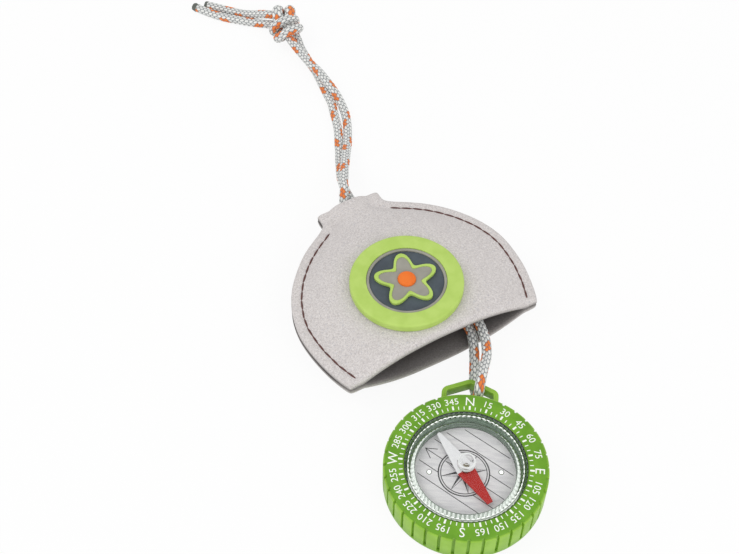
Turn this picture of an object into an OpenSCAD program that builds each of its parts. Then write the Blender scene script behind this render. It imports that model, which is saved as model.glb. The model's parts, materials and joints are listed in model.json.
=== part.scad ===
/* [Case] */
// Diameter over the grip pads of the case ring
case_d = 45; // [40:0.5:52]
// Height of the case ring from its underside to its face
case_h = 10; // [9.5:0.1:12]
// Width of the flat printed face, from its bevelled inner edge to its outer one
face_w = 5.15; // [4.6:0.05:5.6]
// How far the flat face stands inside the grip pads, on the radius
face_setback = 0.5; // [0.3:0.05:0.8]
// Thickness of the lip that holds the capsule down
lip_t = 1.7; // [1.4:0.05:2]
// How far the lip reaches in over the capsule's flange
lip_w = 1.85; // [1.6:0.05:2]
// Depth of the small bevel round the face opening
opening_bevel = 0.35; // [0.2:0.05:0.5]
// Rounding of the ring's lower outer edge
case_edge_r = 0.6; // [0.3:0.05:0.8]
// Drop from the face to the tops of the grip pads
pad_drop = 0.4; // [0.2:0.05:0.6]

/* [Grip] */
// Number of pad pitches round the ring
grip_count = 36; // [24:1:48]
// Width of the groove between two pads
groove_w = 0.85; // [0.6:0.05:1.1]
// Depth of the groove between two pads
groove_depth = 0.85; // [0.5:0.05:1.1]
// Height left whole under the grooves
groove_foot = 1.1; // [0.8:0.1:2]

/* [Lug] */
// Outside width of the lug
lug_w = 16.2; // [14:0.1:18]
// How far the lug stands out from the grip pads
lug_reach = 7; // [6.6:0.1:8]
// Thickness of the lug's band
lug_band = 1.4; // [1.3:0.05:1.7]
// Height of the lug's band
lug_h = 3.4; // [3:0.1:3.6]
// Height of the lug's underside
lug_z = 3.2; // [3:0.05:3.4]
// Outside rounding of the lug's shoulders
lug_corner_r = 2.35; // [2:0.05:2.8]
// Outside rounding of the lug's crown
lug_crown_r = 3; // [2.4:0.1:4]
// How far the lug's shoulders stand below its crown
lug_fall = 2.5; // [2:0.05:3.2]
// Width of the raised bead round the lug's eye
lug_bead_w = 0.4; // [0.3:0.05:0.6]
// Height of that bead
lug_bead_h = 0.25; // [0.15:0.05:0.4]

/* [Case back] */
// Thickness of the disc that closes the underside
back_t = 1.5; // [1.2:0.1:1.8]
// Width of the rebate that the disc is pressed into
back_seat = 0.9; // [0.6:0.05:1.2]
// Height of the round seat that the capsule turns on
turn_seat_h = 0.5; // [0.3:0.05:0.8]
// Width of the round seat that the capsule turns on
turn_seat_w = 1.6; // [1.2:0.1:2]

/* [Capsule] */
// Thickness of the flange that the lip holds
flange_t = 1.4; // [1.1:0.1:1.6]
// Thickness of the capsule's wall at its collar
capsule_wall = 2.85; // [2.5:0.05:3.1]
// Depth of the capsule's rim below the face
capsule_sink = 0.8; // [0.6:0.05:1]
// Depth inside the capsule, from its rim to its floor
capsule_depth = 4; // [3.9:0.05:4.3]
// Thickness of the capsule's floor
capsule_floor_t = 1.0; // [0.8:0.05:1.2]
// Number of ribs round the capsule, one for each five degrees
rib_count = 72; // [36:1:90]
// Width of the slot between two ribs
rib_slot_w = 0.7; // [0.5:0.05:0.8]
// Depth of the slot between two ribs
rib_slot_depth = 0.6; // [0.3:0.05:0.8]
// Diameter of the two pins that locate the dial
dial_pin_d = 1.5; // [1.2:0.1:1.8]
// Distance of those pins from the centre
dial_pin_reach = 9.8; // [9:0.1:10.4]

/* [Lens] */
// Width of the ledge in the capsule's rim that the lens lies on
lens_ledge = 1.7; // [1.4:0.05:1.9]
// Thickness of the lens
lens_t = 0.9; // [0.7:0.05:1]
// Rise of the lens from its edge to its crown
lens_crown = 1.5; // [1.2:0.05:1.6]
// Diameter of the button moulded on the crown
button_d = 5.1; // [4.5:0.1:5.6]
// Height of that button
button_h = 1.7; // [1.4:0.05:1.8]

/* [Dial and needle] */
// Thickness of the printed dial
dial_t = 0.4; // [0.3:0.05:0.5]
// Gap from the needle's white tip to the capsule's wall
needle_tip_gap = 0.5; // [0.4:0.05:1]
// Gap from the needle's red end to the capsule's wall
needle_end_gap = 2.3; // [1.6:0.1:2.8]
// Greatest width of the needle
needle_w = 5.1; // [4.5:0.1:5.4]
// Width of the cut-off red end
needle_end_w = 1.7; // [1.4:0.1:2]
// Radius of the rounded white tip
needle_tip_r = 0.6; // [0.4:0.05:0.8]
// Thickness of the needle's steel strip
needle_t = 0.3; // [0.25:0.01:0.35]
// Height of the strip above the dial
needle_gap = 1.1; // [0.9:0.05:1.2]
// Diameter of the bearing cup
cup_d = 2.4; // [2.2:0.05:2.6]
// Height of the bearing cup above the strip
cup_rise = 1.5; // [1.3:0.05:1.6]
// Diameter of the pivot pin's shank
pivot_d = 0.8; // [0.7:0.05:0.9]

/* [Pouch] */
// Greatest width of the felt pouch
pouch_w = 71.6; // [67:0.2:74]
// Distance from the mouth to the widest place
pouch_belly = 21.8; // [19.5:0.1:23]
// Length from the mouth to the end of the neck
pouch_len = 60.7; // [59:0.1:63]
// Width of the neck
neck_w = 19.6; // [15:0.1:20]
// Thickness of the felt
felt_t = 2.6; // [2.2:0.1:2.9]
// Height inside the pouch, from felt to felt
pouch_room = 11; // [10.4:0.1:12]
// Distance of the seam from the felt's cut edge
seam_inset = 3.2; // [2.8:0.1:3.4]
// Width of the flat margin where the two felts lie together
seam_margin = 4; // [3.8:0.1:4.4]
// Diameter of the sewing thread
thread_d = 0.6; // [0.4:0.05:0.8]
// Length of one stitch
stitch_len = 2.8; // [2.4:0.1:3]
// Spacing from stitch to stitch
stitch_pitch = 3.25; // [3.1:0.05:3.6]

/* [Badge] */
// Diameter of the rubber badge
badge_d = 33.6; // [31:0.2:35]
// Thickness of the badge
badge_t = 2.5; // [2.1:0.1:3]
// Diameter of the sunk field in the badge
badge_field_d = 23.8; // [22:0.2:25]
// Depth of the sunk field
badge_sink = 1.1; // [0.9:0.05:1.3]
// Width of the grey ring round the field
badge_ring_w = 0.9; // [0.7:0.05:1.2]
// Thickness of the slate field
badge_field_t = 0.3; // [0.2:0.05:0.4]
// Width of the raised lime outline
badge_line_w = 1.3; // [1.1:0.05:1.5]
// Diameter of the orange button
badge_dot_d = 5.4; // [4.8:0.1:5.8]
// Number of petals in the badge's pattern
petal_count = 5; // [4:1:8]

/* [Hidden] */

// Clearances and overruns
run_gap = 0.1;
seat_gap = 0.03;
flange_gap = 0.3;
axial_gap = 0.2;
cut_over = 0.5;

// Case
case_r = case_d / 2;
face_r = case_r - face_setback;
opening_r = face_r - face_w;
chamber_r = opening_r + lip_w;
lip_z = case_h - lip_t;
face_bevel = pad_drop * 0.3;
pad_edge_r = face_setback * 0.7;
back_r = chamber_r + back_seat;
lug_top = case_r + lug_reach;
lug_half = lug_w / 2;
lug_root = case_r - face_setback * 2;

// Capsule
collar_r = opening_r - run_gap;
flange_r = chamber_r - flange_gap;
capsule_r = collar_r - capsule_wall;
capsule_top = case_h - capsule_sink;
capsule_floor_z = capsule_top - capsule_depth;
capsule_foot = back_t + turn_seat_h + axial_gap;
flange_top = lip_z - axial_gap;
lens_r = capsule_r + lens_ledge;
lens_z = capsule_top - lens_t;

// Lens cap as a slice of a ball, from its rise and its radius
function ball_r(rise, half_w) = (rise * rise + half_w * half_w) / (2 * rise);
lens_ball_r = ball_r(lens_crown, lens_r);
crown_z = capsule_top + lens_crown;
button_r = button_d / 2;
button_edge = button_h * 0.7;

// Dial, pivot and needle
dial_z = capsule_floor_z;
dial_r = capsule_r - run_gap;
dial_hole_r = pivot_d * 1.4;
pin_r = dial_pin_d / 2;
dial_turn = 5.5;
needle_z = dial_z + dial_t + needle_gap;
cup_r = cup_d / 2;
cup_shank_r = cup_r * 0.75;
cup_top = needle_z + needle_t + cup_rise;
cup_skirt = needle_gap * 0.35;
cup_bore_r = pivot_d * 0.8;
cup_roof = cup_rise * 0.35;
pivot_tip = cup_top - cup_roof - run_gap;
pivot_r = pivot_d / 2;
needle_turn = 37.5;
needle_long = capsule_r - needle_tip_gap;
needle_short = capsule_r - needle_end_gap;

// Pouch, in its own frame: u across the mouth, v from the mouth to the neck
pouch_half = pouch_w / 2;
pouch_turn = 34.8;
pouch_x = -7.8;
pouch_y = 38.9;
mouth_drop_share = 1.236;
shoulder_share = 0.966;
shoulder_power = 1.84;
neck_blend_share = 0.082;
seam_z = pouch_room / 2 + felt_t;
room_half = pouch_room / 2;
neck_half = neck_w / 2;
channel_half = 6.2;
channel_room = 1.8;
bulge_spread = felt_t * 0.45;
taper_from = pouch_len * 0.6;
taper_to = pouch_len * 0.9;
mouth_round_to = pouch_len * 0.22;
mouth_power = 2.4;
body_power = 5.2;
skin_power = 3.3;
panel_rows = 22;
panel_cols = 22;
row_step = pouch_len / panel_rows;
slant_max = 2.4;
seam_flat = seam_inset + thread_d * 1.6;

// Half width of the felt's outline at v, with the neck blended in
function bell(v) = v < pouch_belly
    ? pouch_half * sqrt(1 - pow((pouch_belly - v) / (pouch_half * mouth_drop_share), 2))
    : pouch_half * pow(max(0, 1 - pow((v - pouch_belly) / (pouch_half * shoulder_share), shoulder_power)),
        1 / shoulder_power);
function neck_blend(a, b, k) = (a + b + sqrt((a - b) * (a - b) + k * k)) / 2;
function felt_half(v) = neck_blend(bell(v), neck_half, pouch_w * neck_blend_share);

// How much longer a line across the felt's edge gets where the edge runs aslant
function slant(v) = min(slant_max,
    sqrt(1 + pow((felt_half(v + row_step) - felt_half(v - row_step)) / (2 * row_step), 2)));

// A smooth step from 0 to 1 between two places
function step(v, from, to) = let (t = min(1, max(0, (v - from) / (to - from)))) t * t * (3 - 2 * t);
function mix(a, b, t) = a + (b - a) * t;

// Inside half width, inside half height and squareness of the pouch at v
function room_w(v) = max(channel_half, felt_half(v) - seam_margin * slant(v));
function room_h(v) = mix(room_half, channel_room, step(v, taper_from, taper_to));
function room_power(v) = mix(mouth_power, body_power, step(v, 0, mouth_round_to));
function outside_power(v) = mix(mouth_power, skin_power, step(v, 0, mouth_round_to));
function bulge(x, v) = room_h(v) * (1 - pow(abs(x), room_power(v)));
function dome(x, v) = room_h(v) * (1 - pow(abs(x), outside_power(v)));

// Columns of a panel as shares of its bulged half width, closer near the seams
function col_share(j) = sin(90 * (2 * j / panel_cols - 1));
function row_v(i) = pouch_len * (i / panel_rows);
function inner_row(v) = let (a = room_w(v), w = felt_half(v)) concat(
    [[-w, v, 0]],
    [for (j = [0:panel_cols]) [a * col_share(j), v, bulge(col_share(j), v)]],
    [[w, v, 0]]);
function outer_row(v) = let (a = min(room_w(v) + bulge_spread, felt_half(v) - seam_flat * slant(v)),
    w = felt_half(v)) concat(
    [[-w, v, felt_t]],
    [for (j = [0:panel_cols]) [a * col_share(j), v, felt_t + dome(col_share(j), v)]],
    [[w, v, felt_t]]);

// Faces between two grids of points that share an outline
function grid_faces(rows, cols) = let (
    n = cols + 1,
    m = (rows + 1) * n,
    at = function (i, j) i * n + j,
    un = function (i, j) m + i * n + j
) concat(
    [for (i = [0:rows - 1], j = [0:cols - 1], k = [0, 1])
        k == 0 ? [at(i, j), at(i + 1, j), at(i + 1, j + 1)] : [at(i, j), at(i + 1, j + 1), at(i, j + 1)]],
    [for (i = [0:rows - 1], j = [0:cols - 1], k = [0, 1])
        k == 0 ? [un(i, j), un(i + 1, j + 1), un(i + 1, j)] : [un(i, j), un(i, j + 1), un(i + 1, j + 1)]],
    [for (j = [0:cols - 1], k = [0, 1])
        k == 0 ? [un(0, j), at(0, j), at(0, j + 1)] : [un(0, j), at(0, j + 1), un(0, j + 1)]],
    [for (j = [0:cols - 1], k = [0, 1])
        k == 0 ? [at(rows, j), un(rows, j), un(rows, j + 1)] : [at(rows, j), un(rows, j + 1), at(rows, j + 1)]],
    [for (i = [0:rows - 1], k = [0, 1])
        k == 0 ? [un(i + 1, 0), at(i + 1, 0), at(i, 0)] : [un(i + 1, 0), at(i, 0), un(i, 0)]],
    [for (i = [0:rows - 1], k = [0, 1])
        k == 0 ? [un(i, cols), at(i, cols), at(i + 1, cols)] : [un(i, cols), at(i + 1, cols), un(i + 1, cols)]]);

// Stitches: places along a line that keeps the seam's inset from the felt's edge
seam_from = stitch_len * 0.8;
seam_to = pouch_len * 0.9;
stitch_lift = thread_d / 2 + seat_gap;
function edge_slope(v) = (felt_half(v + 0.1) - felt_half(v - 0.1)) / 0.2;
function seam_point(v) = let (m = edge_slope(v), n = norm([m, 1]))
    [felt_half(v) - seam_inset / n, v + seam_inset * m / n];
function stitch_run(v) = norm(seam_point(v + 0.2) - seam_point(v)) / 0.2;
stitch_places = [for (v = seam_from; v < seam_to; v = v + stitch_pitch / stitch_run(v)) v];

// Badge
badge_r = badge_d / 2;
badge_u = -2;
badge_v = 20;
badge_z = seam_z + room_half + felt_t + seat_gap;
badge_edge_r = badge_t * 0.3;
field_r = badge_field_d / 2;
field_z = badge_t - badge_sink;
petal_mean_r = field_r * 0.64;
petal_swing = field_r * 0.17;
dot_r = badge_dot_d / 2;
dot_rise = badge_sink + badge_field_t * 2;
function petal_r(a) = petal_mean_r + petal_swing * cos(petal_count * a);
function petal_outline(inset) = [for (a = [0:5:355]) (petal_r(a) - inset) * [cos(a), sin(a)]];

// Cord: its diameter, and the points of its routes in the compass's frame
cord_d = 3;
cord_sides = 8;
loop_route = [
    [-42.9, 88.2, 8.3], [-34.3, 81.8, 7.9], [-25.9, 74.6, 7.5], [-18.5, 66.5, 7], [-12, 58, 6.2],
    [-5.4, 52.6, 5.7], [-0.9, 47, 5.2], [0.3, 42, 4.4], [0.8, 37.2, 3.2], [1, 33, 1.9], [1.25, 30, 1.5],
    [1.55, 28.6, 1.5], [1.85, 27.2, 1.52], [2.1, 26.1, 2.1], [2.2, 25.4, 3.3], [2.3, 25.2, 4.9],
    [2.4, 25.3, 6.6], [2.5, 26, 8], [2.65, 27.4, 8.5], [2.9, 29.4, 8.5], [3.4, 33, 8], [4, 37, 7.3],
    [3.6, 42.4, 7], [1.6, 47.8, 7.6], [-2.6, 54.4, 7.4], [-9.4, 60.8, 7], [-16, 68.8, 7.2],
    [-24.2, 77.2, 7.6], [-33.5, 83.75, 7.9], [-40.5, 90, 7.9]];
strand_left_route = [
    [-40.5, 90, 7.9], [-41.3, 92, 7.1], [-42.5, 94.4, 6.5], [-44.3, 98.1, 5.9], [-45.2, 100.9, 5.2],
    [-46.5, 105.3, 4], [-47.3, 109.9, 2.8], [-48, 114.2, 1.9], [-48.5, 118.2, 1.5], [-49.2, 121.8, 1.5],
    [-49.7, 125.5, 1.5], [-50.4, 129.2, 1.5], [-51.5, 132.9, 1.5], [-52.7, 136.6, 1.5], [-53.8, 140.4, 1.5],
    [-55.6, 144.1, 1.5], [-57.5, 147.9, 1.5], [-59.4, 151.8, 1.5], [-61.3, 155.6, 1.5], [-63.8, 159.5, 1.5],
    [-66.1, 163.4, 1.5], [-68.2, 166.9, 2], [-69.7, 169.8, 3.2], [-71.6, 172.6, 4.4]];
strand_right_route = [
    [-42.9, 88.2, 8.3], [-43.6, 90.3, 9], [-44, 92.8, 9.4], [-44, 95, 9.5], [-44.6, 97.5, 9.1],
    [-44.9, 101.7, 8.2], [-45.4, 106.4, 6.8], [-45.7, 111.4, 5.2], [-46, 116.5, 3.6], [-46.2, 121.4, 2.2],
    [-46.6, 125.7, 1.6], [-47.1, 129.5, 1.5], [-47.8, 133.2, 1.5], [-48.9, 136.9, 1.6], [-50.4, 140, 2.2],
    [-52.2, 142.9, 3.1], [-54.4, 145.8, 3.9], [-57, 149.1, 4.5], [-59.7, 152.5, 4.7], [-63.1, 156.1, 4.7],
    [-66.2, 159.9, 4.8], [-69.2, 163.6, 5.1], [-71.6, 166.8, 5.3], [-73.4, 170.6, 5]];
tail_long_route = [
    [-111.1, 185.8, 1.5], [-106.2, 183.5, 1.5], [-102.5, 182, 1.5], [-98, 180.7, 1.5], [-93.7, 180, 1.5],
    [-90.6, 179.5, 1.5], [-86.5, 178.9, 1.6], [-82, 178.1, 2.2], [-79, 177.2, 3]];
tail_short_route = [
    [-107, 187, 1.5], [-104.6, 186.5, 1.5], [-97.1, 184.6, 1.5], [-92.4, 183.3, 1.8], [-88.2, 182, 2.9],
    [-84, 180.8, 4.4], [-80.2, 179.4, 5.6], [-77.6, 178.2, 6]];
knot_w = 13.6;
knot_l = 13.6;
knot_h = 9.4;
knot_at = [-75, 176.1, 4.7];
wrap_high = 3.2;
wrap_half = 4.4;
wrap_turn = -53;
wrap_shifts = [[-0.2, -0.6, 0], [1.7, -3.0, 0]];
lobe_half = 3.2;
lobe_turn = 10;
lobe_shifts = [[-3.2, 2.0, 0], [-0.2, 2.8, 0]];

// A square end for a tube, and a swept tube with a ring at each point of its route
function unit(v) = v / norm(v);
function heading(p, k) = unit(p[min(k + 1, len(p) - 1)] - p[max(k - 1, 0)]);
function ring(c, t, r, n, side) = let (x = unit(cross(side, t)), y = cross(t, x))
    [for (m = [0:n - 1]) c + r * (cos(360 * m / n) * x + sin(360 * m / n) * y)];
module tube(route, d, n, side) {
    rings = len(route);
    polyhedron(
        points = [for (k = [0:rings - 1]) each ring(route[k], heading(route, k), d / 2, n, side)],
        faces = concat(
            [[for (m = [0:n - 1]) m]],
            [for (k = [0:rings - 2], m = [0:n - 1], h = [0, 1]) let (q = (m + 1) % n)
                h == 0 ? [k * n + m, (k + 1) * n + m, (k + 1) * n + q]
                       : [k * n + m, (k + 1) * n + q, k * n + q]],
            [[for (m = [n - 1:-1:0]) (rings - 1) * n + m]]),
        convexity = 6);
}

// The arched outline of the lug, drawn in all round by an inset
module lug_outline(inset) {
    hull() {
        translate([0, lug_top - lug_crown_r]) circle(r = lug_crown_r - inset, $fn = 72);
        for (side = [-1, 1]) {
            translate([side * (lug_half - lug_corner_r), lug_top - lug_fall - lug_corner_r])
                circle(r = lug_corner_r - inset, $fn = 48);
            translate([side * (lug_half - lug_corner_r), lug_root - lug_reach])
                circle(r = lug_corner_r - inset, $fn = 24);
        }
    }
}

module lug() {
    translate([0, 0, lug_z]) {
        linear_extrude(lug_h - lug_bead_h) difference() {
            lug_outline(0);
            lug_outline(lug_band);
        }
        linear_extrude(lug_h) difference() {
            lug_outline(lug_band - lug_bead_w);
            lug_outline(lug_band);
        }
    }
}

module case_ring_blank() {
    rotate_extrude($fn = 180) polygon(concat(
        [[opening_r, lip_z], [opening_r, case_h - opening_bevel], [opening_r + opening_bevel, case_h]],
        [[face_r - face_bevel, case_h], [face_r, case_h - face_bevel], [face_r, case_h - pad_drop]],
        [for (a = [90:-30:0]) [case_r - pad_edge_r + pad_edge_r * cos(a),
            case_h - pad_drop - pad_edge_r + pad_edge_r * sin(a)]],
        [for (a = [0:-15:-90]) [case_r - case_edge_r + case_edge_r * cos(a),
            case_edge_r + case_edge_r * sin(a)]],
        [[back_r, 0], [back_r, back_t], [chamber_r, back_t], [chamber_r, lip_z]]));
}

module case_ring() {
    color("yellowgreen") {
        difference() {
            case_ring_blank();
            for (k = [0:grip_count - 1])
                if (abs((k + 0.5) * 360 / grip_count - 180) < 180 - asin(lug_half / case_r))
                    rotate([0, 0, -(k + 0.5) * 360 / grip_count])
                        translate([-groove_w / 2, case_r - groove_depth, groove_foot])
                            cube([groove_w, groove_depth + cut_over, case_h]);
        }
        difference() {
            lug();
            translate([0, 0, lug_z - cut_over])
                cylinder(r = (chamber_r + case_r) / 2, h = lug_h + 2 * cut_over, $fn = 180);
        }
    }
}

module case_back() {
    color("yellowgreen") {
        rotate_extrude($fn = 180) polygon([
            [0, 0], [back_r - seat_gap, 0], [back_r - seat_gap, back_t],
            [capsule_r + turn_seat_w, back_t], [capsule_r + turn_seat_w, back_t + turn_seat_h],
            [capsule_r, back_t + turn_seat_h], [capsule_r, back_t], [0, back_t]]);
    }
}

module capsule_body() {
    color("gainsboro", 0.4) {
        difference() {
            rotate_extrude($fn = 180) polygon([
                [0, capsule_floor_z - capsule_floor_t], [capsule_r, capsule_floor_z - capsule_floor_t],
                [capsule_r, capsule_foot], [collar_r, capsule_foot],
                [collar_r, flange_top - flange_t], [flange_r, flange_top - flange_t],
                [flange_r, flange_top], [collar_r, flange_top], [collar_r, capsule_top],
                [lens_r + seat_gap, capsule_top], [lens_r + seat_gap, lens_z],
                [capsule_r, lens_z], [capsule_r, capsule_floor_z], [0, capsule_floor_z]]);
            for (k = [0:rib_count - 1])
                rotate([0, 0, k * 360 / rib_count])
                    translate([-rib_slot_w / 2, flange_r - rib_slot_depth, flange_top - flange_t - cut_over])
                        cube([rib_slot_w, rib_slot_depth + cut_over, flange_t + 2 * cut_over]);
        }
        for (side = [-1, 1])
            rotate([0, 0, dial_turn])
                translate([side * dial_pin_reach, 0, capsule_floor_z - capsule_floor_t / 2])
                    cylinder(r = pin_r, h = capsule_floor_t / 2 + dial_t + seat_gap, $fn = 48);
    }
}

module capsule_lens() {
    color("white", 0.3) {
        difference() {
            intersection() {
                translate([0, 0, crown_z - lens_ball_r]) sphere(r = lens_ball_r, $fn = 180);
                translate([0, 0, lens_z]) cylinder(r = lens_r, h = lens_crown * 2, $fn = 180);
            }
            translate([0, 0, crown_z - lens_ball_r - lens_t]) sphere(r = lens_ball_r, $fn = 180);
        }
        rotate_extrude($fn = 72) polygon(concat(
            [[0, crown_z - lens_t / 2], [button_r, crown_z - lens_t / 2]],
            [for (a = [0:15:90]) [button_r * (0.55 + 0.45 * cos(a)),
                crown_z + button_h - button_edge + button_edge * sin(a)]],
            [[0, crown_z + button_h]]));
    }
}

module dial_plate() {
    color("lightgray") difference() {
        translate([0, 0, dial_z]) cylinder(r = dial_r, h = dial_t, $fn = 180);
        translate([0, 0, dial_z - cut_over]) cylinder(r = dial_hole_r, h = dial_t + 2 * cut_over, $fn = 48);
        for (side = [-1, 1])
            rotate([0, 0, dial_turn])
                translate([side * dial_pin_reach, 0, dial_z - cut_over])
                    cylinder(r = pin_r + seat_gap, h = dial_t + 2 * cut_over, $fn = 48);
    }
}

module pivot_pin() {
    color("silver") rotate_extrude($fn = 48) polygon([
        [0, dial_z], [dial_hole_r - seat_gap, dial_z], [dial_hole_r - seat_gap, dial_z + dial_t],
        [pivot_r, dial_z + dial_t + pivot_r], [pivot_r, pivot_tip - pivot_d],
        [pivot_r / 5, pivot_tip], [0, pivot_tip]]);
}

module needle_strip() {
    color("firebrick") rotate([0, 0, needle_turn]) translate([0, 0, needle_z]) difference() {
        linear_extrude(needle_t) polygon(concat(
            [[-needle_w / 2, 0], [-needle_end_w / 2, -needle_short], [needle_end_w / 2, -needle_short],
             [needle_w / 2, 0]],
            [for (a = [10:20:170]) [needle_tip_r * cos(a),
                needle_long - needle_tip_r + needle_tip_r * sin(a)]]));
        translate([0, 0, -cut_over]) cylinder(r = cup_shank_r, h = needle_t + 2 * cut_over, $fn = 48);
    }
}

module needle_cup() {
    color("goldenrod") rotate_extrude($fn = 48) polygon([
        [cup_bore_r, needle_z - cup_skirt], [cup_shank_r - seat_gap, needle_z - cup_skirt],
        [cup_shank_r - seat_gap, needle_z + needle_t], [cup_r, needle_z + needle_t],
        [cup_r, cup_top - cup_roof], [cup_r * 0.6, cup_top], [0, cup_top],
        [0, cup_top - cup_roof], [cup_bore_r, cup_top - cup_roof - cup_bore_r]]);
}

module pouch_place() {
    translate([pouch_x, pouch_y, seam_z]) rotate([0, 0, pouch_turn]) children();
}

module felt_panel() {
    cols = panel_cols + 2;
    polyhedron(
        points = concat([for (i = [0:panel_rows]) each outer_row(row_v(i))],
                        [for (i = [0:panel_rows]) each inner_row(row_v(i))]),
        faces = grid_faces(panel_rows, cols),
        convexity = 8);
}

module pouch_front() {
    color("silver") pouch_place() felt_panel();
}

module pouch_back() {
    color("silver") pouch_place() mirror([0, 0, 1]) felt_panel();
}

module stitch(v) {
    place = seam_point(v);
    ahead = seam_point(v + 0.2) - seam_point(v - 0.2);
    translate([place[0], place[1], felt_t + stitch_lift])
        rotate([0, 0, atan2(ahead[1], ahead[0])])
            translate([-stitch_len / 2, 0, 0])
                rotate([0, 90, 0]) cylinder(d = thread_d, h = stitch_len, $fn = 8);
}

module seam_row() {
    for (face = [0, 1], v = stitch_places) mirror([0, 0, face]) stitch(v);
}

module seam_thread_right() {
    color("saddlebrown") pouch_place() seam_row();
}

module seam_thread_left() {
    color("saddlebrown") pouch_place() mirror([1, 0, 0]) seam_row();
}

module badge_place() {
    pouch_place() translate([badge_u, badge_v, badge_z - seam_z]) children();
}

module badge_base() {
    color("yellowgreen") badge_place() rotate_extrude($fn = 144) polygon(concat(
        [[0, 0], [badge_r, 0]],
        [for (a = [0:15:90]) [badge_r - badge_edge_r + badge_edge_r * cos(a),
            badge_t - badge_edge_r + badge_edge_r * sin(a)]],
        [[field_r, badge_t], [field_r, field_z], [0, field_z]]));
}

module badge_field() {
    color("darkslategray") badge_place() translate([0, 0, field_z])
        cylinder(r = field_r - badge_ring_w - seat_gap, h = badge_field_t, $fn = 144);
}

module badge_ring() {
    color("gray") badge_place() translate([0, 0, field_z]) difference() {
        cylinder(r = field_r - seat_gap, h = badge_sink - badge_field_t, $fn = 144);
        translate([0, 0, -cut_over]) cylinder(r = field_r - badge_ring_w, h = badge_sink + 2 * cut_over, $fn = 144);
    }
}

module badge_outline() {
    color("yellowgreen") badge_place() translate([0, 0, field_z + badge_field_t])
        linear_extrude(badge_sink) difference() {
            polygon(petal_outline(0));
            polygon(petal_outline(badge_line_w));
        }
}

module badge_petals() {
    color("gray") badge_place() translate([0, 0, field_z + badge_field_t])
        linear_extrude(badge_sink - badge_field_t) difference() {
            polygon(petal_outline(badge_line_w + seat_gap));
            circle(r = dot_r + seat_gap, $fn = 72);
        }
}

module badge_button() {
    color("darkorange") badge_place() translate([0, 0, field_z + badge_field_t])
        rotate_extrude($fn = 72) polygon(concat(
            [[0, 0], [dot_r, 0]],
            [for (a = [0:15:90]) [dot_r - badge_edge_r + badge_edge_r * cos(a),
                dot_rise - badge_edge_r + badge_edge_r * sin(a)]],
            [[0, dot_rise]]));
}

module cord_loop() {
    color("lightgray") tube(loop_route, cord_d, cord_sides, [1, 0, 0]);
}

module cord_strand_left() {
    color("lightgray") tube(strand_left_route, cord_d, cord_sides, [0, 0, 1]);
}

module cord_strand_right() {
    color("lightgray") tube(strand_right_route, cord_d, cord_sides, [0, 0, 1]);
}

module cord_tail_long() {
    color("lightgray") tube(tail_long_route, cord_d, cord_sides, [0, 0, 1]);
}

module cord_tail_short() {
    color("lightgray") tube(tail_short_route, cord_d, cord_sides, [0, 0, 1]);
}

// One closed turn of the cord about an axis that lies level at an angle from +X
module knot_turn(shift, turn, wide, high) {
    translate(shift) rotate([0, 0, turn]) scale([1, wide / high, 1]) rotate([0, 90, 0])
        rotate_extrude($fn = 28) translate([high, 0]) circle(d = cord_d, $fn = 10);
}

// The knot: two wraps round the strands and two lobes beside them, drawn into one lump
module cord_knot() {
    color("lightgray") translate(knot_at) resize([knot_w, knot_l, knot_h]) {
        for (side = [0, 1]) {
            knot_turn(wrap_shifts[side], wrap_turn, wrap_half, wrap_high);
            knot_turn(lobe_shifts[side], lobe_turn, lobe_half, wrap_high);
        }
        sphere(r = wrap_high, $fn = 24);
    }
}

case_ring();
case_back();
capsule_body();
capsule_lens();
dial_plate();
pivot_pin();
needle_strip();
needle_cup();
pouch_front();
pouch_back();
seam_thread_left();
seam_thread_right();
badge_base();
badge_field();
badge_ring();
badge_outline();
badge_petals();
badge_button();
cord_loop();
cord_strand_left();
cord_strand_right();
cord_knot();
cord_tail_long();
cord_tail_short();
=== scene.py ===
"""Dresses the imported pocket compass: its grip ring, clear capsule and needle, the felt pouch
with its rubber badge, and the braided cord with its knot."""

import json
import math
import operator

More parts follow.
